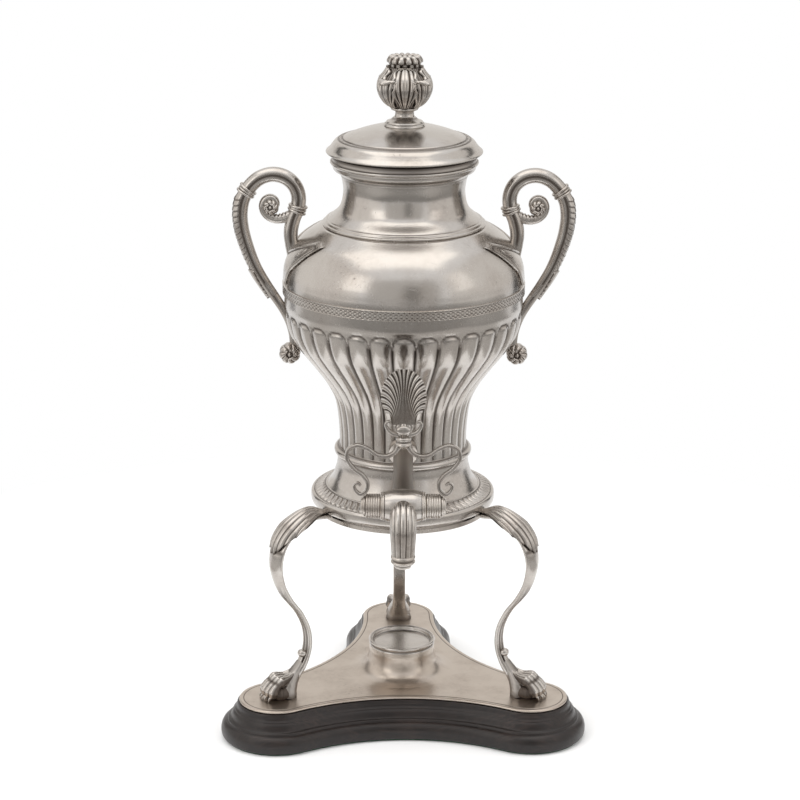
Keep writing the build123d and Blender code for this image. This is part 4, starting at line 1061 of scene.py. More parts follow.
class Lid(Bench):
    """Lift-off lid with a stamped band, and its acanthus finial."""

    body = Body.LID
    wall = smooth(
        [(9.2, 0), (12.9, 3.4), (16.3, 9), (17.4, 15.5), (15.9, 21), (12.8, 25), (10.2, 28.7)], 48
    )

    def cover(self) -> None:
        """Spun cover: rim, swelling moulding, dotted band, groove and shallow dome."""
        size = self.size
        moulding = (
            (55.8, 431.5), (54.2, 432.9), (52.4, 435.2), (50.6, 437.6), (49.2, 438.8), (48, 439.3),
        )
        loop = [
            (46, 428.7), (52.6, 428.7), (53.2, 429.4), (55.8, 429.8), (56.3, 430.1), (56.5, 430.6),
            (56.3, 431.1), *smooth(moulding, 22), (47.8, 439.5), (47.6, 439.8),
            *((float(r), 439.75 + 0.11 * (47.4 - float(r))) for r in np.linspace(47.4, 45.0, 7)),
            (44.7, 439.7), (44.4, 439.8), (44.1, 440.5),
            *smooth([(43.9, 440.8), (37, 443.6), (30, 446), (22, 448.1), (16, 449)], 26),
            (15, 449.1), (4, 449.1), (4, 447.4), (15, 447.3), (30, 444.2), (43, 439),
            (47, 436.6), (46, 432), (46, 428.7),
        ]

        def relief(r: Array, turn: Array, z: Array) -> Cut:
            """Raises the row of dots and stains the grooves."""
            v = (r - size.band_in) / (size.band_out - size.band_in) * 2.0 - 1.0
            top = z > 439.0
            on_band = (np.abs(v) < 1.0) & top
            dot = dome((2.0 * ((turn * size.dots) % 1.0) - 1.0) / 0.75, v / 0.8)
            grooves = most(0.85 * bump_at(r, 44.4, 1.3), 0.75 * bump_at(r, 47.8, 0.9)) * top
            dark = most(0.75 * on_band * (dot**2 < 0.12), grooves, 0.9 * (z < 430.0) * (r > 50.0))
            return r, z + 0.42 * on_band * dot, dark

        self.spun("lid_cover", loop, 720, Finishes.body, "lid_shell", relief=relief, crease=50)

    def stem(self) -> None:
        """Stepped foot, waist and collar under the finial."""
        loop = [
            (4, 448.9), (14.3, 448.9), (14.8, 449.4), (14.8, 450.4), (14.4, 450.9), (13.5, 451.2),
            (13.3, 451.9), (12.9, 452.5), (11.2, 452.9), (10.3, 453.3), (9.4, 454.1),
            *smooth([(8.6, 454.8), (7.1, 456.2), (6.8, 458), (7.1, 459.6), (7.9, 460.5)], 12),
            *smooth([(8.4, 460.6), (9.8, 460.9), (10.1, 461.8), (9.6, 462.7)], 8),
            (8.6, 463.4), (4, 463.4), (4, 448.9),
        ]
        piece = self.lathe("finial_stem", loop, 96)
        self.stained(piece, 0.6, ((451.3, 1.0), (454.6, 2.2), (460.4, 1.0)))
        self.finish(piece, Finishes.body, "finial_foot")

    def core(self) -> None:
        """Dark ribbed core between the leaves."""
        size = self.size
        loop = [(2, 0), *self.wall, (2, 28.7), (2, 0)]

        def relief(r: Array, turn: Array, z: Array) -> Cut:
            """Cuts fine reeds down the core, and stains it all."""
            gap = 1.0 - np.abs(np.cos(np.pi * turn * size.reeds))
            return r * (1.0 - 0.035 * gap * (r > 5.0)), z, 0.55 + 0.4 * gap

        loop = [(r, z + size.knop_z) for r, z in loop]
        self.spun("finial_core", loop, 192, Finishes.chased, "finial_knop", relief=relief)

    def leaf(self, name: str, leaf: LeafSize) -> Piece:
        """One acanthus leaf on the core, facing +X, its tip curled outward."""
        rises, radii = [z for _, z in self.wall], [r for r, _ in self.wall]
        curled = leaf.curl > 2.0

        def shape(x: Array, y: Array, z: Array) -> Moved:
            """Lays the grid on the core, with lobed edges, a mid rib and side veins."""
            u, v = 2.0 * x - 1.0, y
            lobes = 0.84 + 0.16 * np.abs(np.cos(np.pi * (4.0 * v + 0.15)))
            spread = np.sin(np.pi * (0.11 + 0.60 * v)) ** 0.9
            spread *= np.where(v > 0.8, np.sqrt(np.clip((1.02 - v) / 0.22, 0.02, 1.0)), 1.0)
            over = np.clip((v - 0.74) / 0.26, 0.0, 1.0)
            spread *= 1.0 - 0.75 * over * curled
            angle = np.radians(leaf.half) * u * spread * np.where(np.abs(u) > 0.6, lobes, 1.0)
            climb = np.sin(np.minimum(v / (0.82 if curled else 1.0), 1.0) * np.pi / 2)
            rise = leaf.low + (leaf.high - leaf.low) * climb - 2.2 * curled * over**2
            rib = bell(u, 0.0, 0.07) * (1.0 - 0.5 * over)
            flute = np.abs(np.cos(np.pi * (3.0 * np.abs(u) ** 0.9 + 0.5)))
            lift = leaf.lift + 1.1 * (1.0 - u**4) + rib + 1.5 * flute + leaf.curl * over**1.4
            r = np.interp(rise, rises, radii) + lift
            hollow = 1.2 * ease(0.78 - flute, 0.0, 0.55) * (np.abs(u) > 0.08)
            hollow *= np.where(over > 0.5, 0.3, 1.0)
            return r * np.cos(angle), r * np.sin(angle), self.size.knop_z + rise, hollow

        return self.thicken(self.reshape(self.sheet(name, 64, 48), shape), 1.1)

    def knop(self) -> None:
        """All leaves of the finial: tall ones, and short ones with curled tips between."""
        step = 360.0 / self.size.leaves
        around = [step * k for k in range(1, self.size.leaves)]
        tall = self.copies(self.leaf("leaf_tall", LeafSize(0.4, 28.4, 40.0, 0.3, 0.1)), around)
        short = self.leaf("leaf_short", LeafSize(0.4, 20.4, 32.0, 3.2, 0.8))
        piece = self.joined(tall, self.copies(self.turned(short, step / 2), around))
        piece.name = "finial_leaves"
        self.finish(self.turned(piece, -90), Finishes.chased, crease=70)

    def rosette(self) -> None:
        """Flat flower on top: a ring of petals round a knot of small beads."""
        size = self.size
        base = size.knop_z + 28.2
        wall = [
            (0, 0), (2, 0), (10.6, 0), (11.4, 1.2), (11.6, 2.6), (12.3, 3.2), (13, 4.2),
            (12.9, 5.6), (11.4, 6.7),
            *((r, 6.68 + 0.02 * r) for r in np.linspace(10.6, 0.0, 26).tolist()),
        ]

        def relief(r: Array, turn: Array, z: Array) -> Cut:
            """Raises petals round the edge and beads in the middle."""
            across = tooth(turn * size.petals + 0.5 * (z > base + 3.0))
            petal = dome(across / 0.93, (r - 9.2) / 3.0)
            bead = dome((2.0 * ((turn * 6.0) % 1.0) - 1.0) / 0.95, (r - 4.0) / 1.9)
            pattern = most(petal, bead, dome(r / 1.9))
            top = ease(z, base + 5.4, base + 6.6)
            split = bump_at(z, base + 2.9, 0.9)
            notch = (1.0 - top) * (r > 9.0) * most(1.1 * ease(across, 0.55, 0.9), 1.2 * split)
            side = ease(across, 0.5, 0.85) + split
            dark = np.where(r > 11.5, side, ease(0.7 - pattern, 0.0, 0.5))
            return r - notch, z + 1.9 * top * pattern, dark

        loop = [(r, base + z) for r, z in wall]
        self.spun(
            "finial_rosette", loop, 288, Finishes.chased, "finial_rosette", relief=relief, crease=60
        )

    def build(self) -> None:
        """Makes the lid and its finial."""
        for make in (self.cover, self.stem, self.core, self.knop, self.rosette):
            make()


# ----------------------------------------------------------------- handles


@dataclass
class HandleSize:
    """Sizes of the handle's bar, bracelets, scales and flowers."""

    bar_r: float = 5.3
    bracelet_at: tuple[float, float] = (0.168, 0.435)
    bracelet_step: float = 0.0085
    scales: int = 15
    petals: int = 8
    leaf_from: float = 0.70
    leaf_to: float = 0.815


class Handle(Bench):
    """Scroll handle: round bar, bracelets, scroll with a rosette, leaf scales and a ball foot."""

    route = Route.level((
        (79.6, 352), (81.2, 361), (82, 370.3), (80.2, 380), (76.8, 389), (76.2, 397),
        (79.2, 405.2), (85.9, 411), (94.5, 413), (103.9, 410.4), (112, 403), (116.8, 393.9),
        (118.3, 384), (117.4, 373.5), (113.4, 358.6), (107.4, 343.8), (100.5, 332),
        (93.7, 321.8), (87.8, 312.4), (83.8, 303.6), (81.4, 294), (80.8, 286),
    ))
    scroll = Route.level((
        (77.8, 389), (81.4, 384), (86.4, 381), (91.8, 380), (97.2, 381.4), (101.2, 385.2),
        (102.4, 390.4), (100.4, 394.8), (96.4, 396.4), (92.9, 394.6), (91.9, 391), (93.6, 388.3),
        (96.3, 388.6),
    ))

    def main_bar(self) -> Piece:
        """The bar, with a channel along both faces and scales on the outer falling half."""
        places = [0.0, 0.03, 0.12, 0.3, 0.5, 0.62, 0.75, 0.88, 1.0]
        radii = [4.9, 5.0, 5.3, 5.5, 5.4, 5.0, 4.3, 3.6, 2.9]

        def section(place: Array, angle: Array) -> Cut:
            """Round at the root, flatter with two facets towards the tip."""
            c, s = np.cos(angle), np.sin(angle)
            flat = ease(place, 0.55, 0.8)
            channel = 0.8 * bell(np.abs(s), 1.0, 0.035)
            channel *= ease(place, 0.02, 0.06) * (1.0 - ease(place, 0.80, 0.92))
            on = ease(place, 0.452, 0.47) * (1.0 - ease(place, 0.70, 0.745)) * ease(-c, 0.05, 0.35)
            across = np.arctan2(s, -c) / 1.35
            taper = 1.0 - 0.8 * ease(place, 0.60, 0.74)
            row = (place - 0.455) / 0.265 * self.size.scales
            step = (row + 0.42 * (across / np.maximum(taper, 0.2)) ** 2) % 1.0
            scale = np.sqrt(step) * on * (np.abs(across) < taper)
            relief = 0.60 * scale + 0.35 * bell(across, 0.0, 0.14) * on
            base = np.interp(place, places, radii) * (1.0 - 0.10 * flat * np.abs(c)) - channel
            hollow = most(0.9 * channel / 0.8, on * ease(0.32 - step, 0.0, 0.3))
            return (base + relief) * c, (base + 0.6 * relief) * s * (1.0 - 0.22 * flat), hollow

        return self.swept("handle_bar", self.route, section, 420, 56)

    def bracelets(self) -> Piece:
        """Two groups of three thin rings round the bar, the middle one lower."""
        size, rings = self.size, []
        for place in size.bracelet_at:
            for step, rise in ((-1, 0.9), (0, 0.45), (1, 0.9)):
                centre, along, _ = self.route.frames(np.array([place + step * size.bracelet_step]))
                bpy.ops.mesh.primitive_torus_add(
                    major_radius=(size.bar_r + rise) * MM,
                    minor_radius=0.95 * MM,
                    major_segments=48,
                    minor_segments=12,
                    location=Vector(centre[0]) * MM,
                    rotation=Vector(along[0]).to_track_quat("Z", "Y").to_euler(),
                )
                rings.append(bpy.context.object)
                bpy.ops.object.transform_apply(location=True, rotation=True, scale=True)
        return self.joined(*rings)

    def inner_scroll(self) -> Piece:
        """Scroll branch that ends in a spiral, with a ribbed back."""

        def section(place: Array, angle: Array) -> Cut:
            """Round, thinner along the spiral, with short ribs across the outer side."""
            radius = np.interp(place, [0.0, 0.25, 0.6, 1.0], [3.7, 3.4, 2.6, 1.9])
            outer = ease(-np.cos(angle), 0.0, 0.5)
            start = ease(place, 0.1, 0.2)
            ribs = np.abs(np.sin(place * math.pi * 17.0)) * start
            hollow = 0.85 * outer * ease(0.5 - ribs, 0.0, 0.4) * start
            side = (radius + 0.85 * ribs * outer) * np.cos(angle)
            return side, radius * (1.0 + 0.35 * ease(place, 0.3, 0.8)) * np.sin(angle), hollow

        return self.swept("handle_scroll", self.scroll, section, 240, 32)

    def flower(self, name: str, centre: Place, radius: float, half: float) -> Piece:
        """A round double-faced flower across the handle's plane.

        Args:
            name: Name of the piece.
            centre: Its centre.
            radius: Its radius.
            half: Half its thickness.

        Returns:
            The flower, its faces towards -Y and Y.
        """
        petals = self.size.petals
        bulge = ((0, -1), (0.55, -0.96), (0.9, -0.55), (1, 0), (0.9, 0.55), (0.55, 0.96), (0, 1))
        wall = smooth([(radius * out, half * rise) for out, rise in bulge], 44)

        def shape(x: Array, y: Array, z: Array) -> Moved:
            """Cuts the petals and raises the centre bead, then lays the flower on its side."""
            share = np.hypot(x, y) / radius
            turn = np.arctan2(y, x) / math.tau * petals
            petal = dome(tooth(turn + 0.8 * share)) * ease(share, 0.3, 0.6)
            inner = dome(tooth(turn * 0.6)) * bump_at(share, 0.42, 0.4)
            relief = most(0.9 * petal, 0.8 * inner, dome(share / 0.22))
            rise = 1.0 + 0.26 * (relief - 0.85)
            grow = np.where(share > 0.02, 1.0 + 0.10 * (petal - 0.9), 1.0)
            dark = 0.95 * ease(0.5 - relief, 0.0, 0.35) * (share > 0.12)
            return x * grow, z * rise + 0.35 * np.sign(z) * relief, y * grow, dark

        piece = self.reshape(self.lathe(name, wall, petals * 16), shape)
        return self.face_out(self.moved(piece, centre))

    def tip_leaf(self) -> Piece:
        """Pointed leaf that ends the scales on the falling arm."""
        start, end = self.size.leaf_from, self.size.leaf_to

        def section(place: Array, angle: Array) -> Cut:
            """A low pad on the outer side, wide first and pointed at its end."""
            along = start + (end - start) * place
            radius = np.interp(along, [0.62, 0.75, 0.88], [5.0, 4.3, 3.6]) + 0.15
            width = (1.0 - place) ** 0.7 * ease(place, -0.05, 0.1)
            outer = ease(-np.cos(angle), 0.15, 0.4)
            across = np.arctan2(np.sin(angle), -np.cos(angle)) / 1.2
            inside = dome(across / np.maximum(width, 0.02))
            pad = outer * (0.9 * inside + 0.5 * bell(across, 0.0, 0.12) * (inside > 0))
            reach = radius * (0.72 + 0.28 * (pad > 0.02)) + pad
            return oval(reach, angle, 0.8 * outer * (inside < 0.5), 0.86)

        route = Route(self.route.at(np.linspace(start, end, 14)))
        return self.swept("handle_leaf", route, section, 60, 40)

    def pad(self) -> Piece:
        """Shield on the shoulder under the handle's root; each ear ends in an eye."""
        radii, heights = zip(*smooth(Vessel.shoulder, 40))

        def shape(x: Array, y: Array, z: Array) -> Moved:
            """Lays the shield on the shoulder, with a corded edge and a ring in each ear."""
            side = np.abs(2.0 * x - 1.0)
            half = np.interp(y, [0.0, 0.35, 0.75, 1.0], [15.0, 20.0, 30.0, 38.0])
            low = 337.5
            top = 356.5 + 18.5 * side**0.85 - 4.5 * ease(side, 0.80, 1.0)
            height = low + (top - low) * y
            edge = np.minimum((1.0 - side) * half * 1.4, (1.0 - y) * (top - low))
            groove = bell(edge, 3.1, 0.8)
            eye = np.hypot((side - 0.74) * half * 1.4, height - top + 8.0)
            lift = 0.9 + 1.2 * bell(edge, 1.2, 0.9) + 0.9 * bell(eye, 2.5, 0.8) - 0.3 * groove
            r = np.interp(height, heights, radii) + lift
            angle = np.radians(half * (2.0 * x - 1.0))
            hollow = 0.85 * most(groove, bell(eye, 3.9, 0.7), 0.8 * (eye < 1.3))
            return r * np.cos(angle), r * np.sin(angle), height, hollow

        return self.thicken(self.reshape(self.sheet("handle_pad", 128, 80), shape), 1.8)

    def build(self) -> None:
        """Makes the right handle and its mirror image on the left."""
        curl = self.flower("scroll_flower", (96.6, 0, 389.3), 6.4, 5.0)
        ball = self.flower("ball_flower", (83.4, 0, 279.5), 7.9, 6.2)
        pieces = (
            ("bar", self.joined(self.main_bar(), self.tip_leaf(), self.pad()), "handle"),
            ("scroll", self.inner_scroll(), "handle_curl"),
            ("bracelets", self.bracelets(), "handle_bracelets"),
            ("flowers", self.joined(curl, ball), "handle_rosettes"),
        )
        for part, right, node in pieces:
            right.name = f"handle_{part}_r"
            left = self.mirrored(right, f"handle_{part}_l")
            self.finish(right, Finishes.chased, f"{node}_right", crease=50)
            self.finish(left, Finishes.chased, f"{node}_left", crease=50)


# --------------------------------------------------------------------- tap


@dataclass
class TapSize:
    """Sizes of the tap's spout and of the line that its collar hangs on."""

    reeds: int = 12
    reed_depth: float = 1.35
    spout_y: float = -129.0


class Tap(Bench):
    """Tap: pipe from the vessel, bulging barrel, reeded spout, collar and nozzle."""

    def barrel(self) -> None:
        """Smooth bulging barrel between two end rings."""
        swell = smooth([(10.4, -12.8), (12, -7), (12.5, 0), (12, 7), (10.4, 12.8)], 26)
        piece = self.on_plug("tap_barrel", [(6.2, -13), *swell, (6.2, 13), (6.2, -13)])
        self.finish(piece, Finishes.body, "tap_barrel")

    def rings(self) -> None:
        """A stepped ring at each end of the barrel."""
        right = self.on_plug("tap_barrel_rings", [
            (6.2, 13), (9.9, 13), (10.3, 13.4), (10.3, 14), (9.7, 14.4), (9.6, 14.8),
            (10, 15.2), (9.8, 15.8), (9.2, 16), (6.2, 16), (6.2, 13),
        ])
        piece = self.joined(right, self.mirrored(right, "tap_ring_left"))
        self.finish(piece, Finishes.worn, "tap_barrel_rings", crease=60)

    def spout(self) -> None:
        """Arched spout with broad reeds down its outer side."""
        size = self.size
        line = (
            (-117, 198.9), (-122.4, 197), (-126.6, 193), (-128.6, 188), (size.spout_y, 182),
            (size.spout_y, 176), (size.spout_y, 170),
        )
        route = Route([(0, y, z) for y, z in line], (1, 0, 0))

        def section(place: Array, angle: Array) -> Cut:
            """Reeds round the section, with a smooth wide one in front."""
            radius = np.interp(place, [0.0, 0.22, 0.55, 1.0], [8.6, 9.5, 9.2, 8.2])
            reed = dome(tooth(angle / math.tau * size.reeds + 0.5))
            fade = ease(place, 0.0, 0.15)
            hollow = 0.95 * ease(0.55 - reed, 0.0, 0.45) * fade
            return oval(radius - size.reed_depth * (1.0 - reed) * fade, angle, hollow)

        piece = self.swept("tap_spout", route, section, 90, 192)
        self.finish(piece, Finishes.chased, "spout", crease=60)

    def collar(self) -> None:
        """Two-lipped collar at the spout's foot, and the plain nozzle below it."""
        loop = [
            (3.6, 161), (5.6, 161), (5.8, 161.3), (5.8, 163.6), (6.8, 164), (8.1, 164.2),
            (8.6, 164.8), (8.6, 165.6), (8, 166.1), (7.3, 166.5), (7.3, 167.1), (8.1, 167.6),
            (8.7, 168.3), (8.6, 169.2), (7.9, 170), (3.6, 170.4), (3.6, 161),
        ]

        def relief(r: Array, turn: Array, z: Array) -> Cut:
            """Stains the groove between the lips and the mouth of the nozzle."""
            near = most(bump_at(z, 166.8, 1.6), bump_at(z, 163.6, 1.4))
            return r, z, most(0.85 * near, 0.9 * (r < 5.0))

        piece = self.emboss(self.lathe("spout_collar", loop, 96), relief)
        self.moved(piece, (0, self.size.spout_y, 0))
        self.finish(piece, Finishes.worn, "spout_collar", "nozzle")

    def pipe(self) -> None:
        """Pipe from the vessel down to the barrel."""
        line = ((-42.5, 220.5), (-60, 216), (-80, 209.3), (-104, 201.6))
        route = Route([(0, y, z) for y, z in line], (1, 0, 0))

        def section(place: Array, angle: Array) -> Cut:
            """Round, with a worn waist, browner towards the barrel."""
            radius = np.interp(place, [0.0, 0.2, 0.6, 1.0], [8.4, 7.2, 7.1, 8.0])
            return oval(radius, angle, 0.35 + 0.35 * ease(place, 0.2, 0.9))

        self.finish(self.swept("tap_pipe", route, section, 40, 48), Finishes.worn, "tap_pipe")

    def build(self) -> None:
        """Makes the tap's pieces that stay with the urn."""
        for make in (self.barrel, self.rings, self.spout, self.collar, self.pipe):
            make()


# --------------------------------------------------------------------- key


@dataclass
class KeySize:
    """Sizes of the key's sleeves and palmette."""

    sleeve_from: float = 16.2
    sleeve_to: float = 26.4
    line_step: float = 1.7
    ribs: int = 18
    half_w: float = 15.8
    foot_z: float = 260.5
    top_z: float = 300.3
    fan: float = 127.0


class Key(Bench):
    """Key of the tap: sleeves and caps on the plug, two hooked arms, collar and palmette."""

    body = Body.KEY
    arm = Route.level((
        (2.2, 246.9), (5.2, 240.2), (10.6, 236.6), (17.5, 237), (25.3, 242), (32.3, 244.2),
        (38, 241.4), (39.6, 235.5), (35.1, 227.6), (28.2, 221.9), (25, 216.3), (26, 210.8),
        (30.1, 208.3), (33.6, 211.2), (34.2, 214.6), (31.8, 216.4), (30, 214.6),
    ), PLUG_Y)

    def sleeves(self) -> None:
        """Turned sleeves with fine lines, and ringed caps, at both ends of the plug."""
        start, end = self.size.sleeve_from, self.size.sleeve_to
        loop = [(5.8, start)]
        for k in range(53):
            x = start + (end - start) * k / 52
            line = 0.42 * abs(math.sin(math.pi * (x - start) / self.size.line_step))
            loop.append((8.3 + line, x))
        loop += [(5.8, end), (5.8, start)]
        cap = [
            (0, 26.5), (7, 26.5), (7.4, 26.9), (7.4, 27.7), (6.9, 28.2), (6.2, 28.5),
            (6.2, 28.9), (5.6, 29.7), (3.4, 30.1), (0, 30.1),
        ]

        def stain(x: Array, y: Array, z: Array) -> Moved:
            """Stains the turned lines."""
            r = np.hypot(y - PLUG_Y, z - PLUG_Z)
            return x, y, z, 0.8 * ease(8.52 - r, 0.0, 0.2) * (r > 7.0)

        ends = []
        for side, sign in (("right", 1.0), ("left", -1.0)):
            sleeve = self.on_plug(f"plug_sleeve_{side}_fine", [(r, sign * x) for r, x in loop])
            self.face_out(self.reshape(sleeve, stain))
            self.finish(sleeve, Finishes.worn, f"plug_sleeve_{side}", crease=75)
            end = self.on_plug("plug_caps_fine", [(r, sign * x) for r, x in cap])
            ends.append(self.face_out(end))
        self.finish(self.joined(*ends), Finishes.worn, "plug_caps", crease=60)

    def arms(self) -> None:
        """Two flat straps with raised edges, ending in hooks on the caps."""

        def section(place: Array, angle: Array) -> Cut:
            """Rounded strap with an edge bead on both faces."""
            thick = np.interp(place, [0.0, 0.3, 0.8, 1.0], [1.5, 1.4, 1.35, 1.0])
            wide = np.interp(place, [0.0, 0.8, 1.0], [2.3, 2.2, 1.6])
            c, s = np.cos(angle), np.sin(angle)
            side = squared(c, 0.55) * thick
            face = bell(side, 0.0, 0.42 * thick) * (np.abs(s) > 0.6)
            return side, squared(s, 0.55) * wide - np.sign(s) * 0.55 * face, 0.75 * face

        right = self.swept("key_arm_right_fine", self.arm, section, 260, 32)
        left = self.mirrored(right, "key_arm_left_fine")
        self.finish(right, Finishes.chased, "key_arm_right", crease=50)
        self.finish(left, Finishes.chased, "key_arm_left", crease=50)

    def collar(self) -> None:
        """Collar of two rings where the arms meet."""
        loop = [
            (0, 242), (3.4, 242.4), (4.4, 243.6), (5.2, 244.4), (5.6, 245.2), (5.3, 246.3),
            (4.5, 246.9), (4.5, 247.6), (5.2, 248.2), (5.6, 249.2), (5.3, 250.2), (4.3, 250.9),
            (3.4, 251.4), (0, 251.6),
        ]
        piece = self.stained(self.lathe("key_collar_fine", loop, 64), 0.85, ((247.25, 1.8),))
        self.finish(self.moved(piece, (0, PLUG_Y, 0)), Finishes.chased, "key_collar")

    def calyx(self) -> None:
        """Cup of leaves under the palmette, with an oval disc in front and a curl each side."""
        wall = smooth([(3.2, 250.8), (4.6, 253), (5.6, 256), (6, 259), (5, 261.2)], 18)
        button = smooth([(0, -1), (2.6, -0.9), (3.3, 0.2), (2.4, 1.1), (0, 1.5)], 14)
        curl = (
            (3.2, 252.2), (7.4, 253.2), (11.2, 256.6), (12.2, 260.4), (10.6, 262.2), (9.2, 260.8),
        )

        def leaves(x: Array, y: Array, z: Array) -> Moved:
            """Cuts the cup into leaves, and flattens it from front to back."""
            u = tooth(np.arctan2(y, x) / math.tau * 10.0)
            scale = 1.0 - 0.14 * u**2
            return 1.25 * x * scale, 0.85 * y * scale, z, 0.8 * ease(u, 0.7, 1.0)

        def section(place: Array, angle: Array) -> Cut:
            """Flat leaf with a groove down the middle."""
            wide = np.interp(place, [0.0, 0.4, 0.8, 1.0], [1.7, 1.6, 1.1, 0.8])
            groove = 0.5 * bell(np.cos(angle), 0.0, 0.25)
            return wide * np.cos(angle), (1.9 - groove) * np.sin(angle), 1.3 * groove

        cup = self.lathe("key_calyx_fine", [(0, 250.8), *wall, (0, 261.4)], 80)
        self.moved(self.reshape(cup, leaves), (0, PLUG_Y, 0))
        disc = self.turned(self.lathe("calyx_disc", button, 32), 90, "X")
        disc.data.transform(Matrix.Scale(1.5, 4, (1.0, 0.0, 0.0)))
        self.moved(disc, (0, PLUG_Y - 5.0, 256.6))
        right = self.swept("calyx_curl", Route.level(curl, PLUG_Y - 1.0), section, 60, 24)
        piece = self.joined(cup, disc, right, self.mirrored(right, "calyx_curl_left"))
        self.finish(piece, Finishes.chased, "key_calyx", crease=55)

    def palmette(self) -> None:
        """Anthemion: one straight rib and curved ribs with curled round ends on each side."""
        size = self.size
        middle = (size.foot_z + size.top_z) / 2

        def shape(x: Array, y: Array, z: Array) -> Moved:
            """Lays the ribs from the calyx up and out to the egg-shaped edge."""
            fan = 2.0 * x - 1.0
            ridge = np.abs(np.cos(np.pi * size.ribs * fan / 2.0)) ** 1.3
            lean = np.radians(size.fan) * fan
            reach = 1.0 + 0.035 * (ridge - 0.7) * ease(y, 0.7, 1.0)
            edge_z = middle + (size.top_z - middle) * np.cos(lean) * reach
            bend_z = size.foot_z + (edge_z - size.foot_z) * 0.80 + 2.5 * np.abs(fan)
            near, half_way, far = (1.0 - y) ** 2, 2.0 * (1.0 - y) * y, y**2
            across = 7.4 * fan * (near + 0.94 * half_way) + far * size.half_w * np.sin(lean) * reach
            height = near * size.foot_z + half_way * bend_z + far * edge_z
            spread = 0.25 + 0.75 * y
            rise = 0.6 + 3.2 * (1.0 - 0.85 * y**1.3) + 1.35 * ridge * spread
            return across, PLUG_Y - rise, height, 1.05 * ease(0.5 - ridge, 0.0, 0.4) * spread

        piece = self.reshape(self.sheet("key_palmette_fine", 14 * size.ribs, 56), shape)
        self.face_out(self.thicken(piece, 1.8))
        self.finish(piece, Finishes.chased, "key_palmette", crease=55)

    def build(self) -> None:
        """Makes the pieces that turn with the key."""
        for make in (self.sleeves, self.arms, self.collar, self.calyx, self.palmette):
            make()


# ------------------------------------------------------------------- stand


@dataclass
class StandSize:
    """Sizes of the legs, knees and paws."""

    turns: tuple[tuple[str, float], ...] = (("left", 211.3), ("right", 331.3), ("back", 91.3))
    thick: float = 3.0
    knee_from: float = 0.075
    knee_to: float = 0.36
    ribs: int = 8
    plate_z: float = 30.0
    toes: tuple[float, ...] = (-7.0, -2.4, 2.4, 7.0)


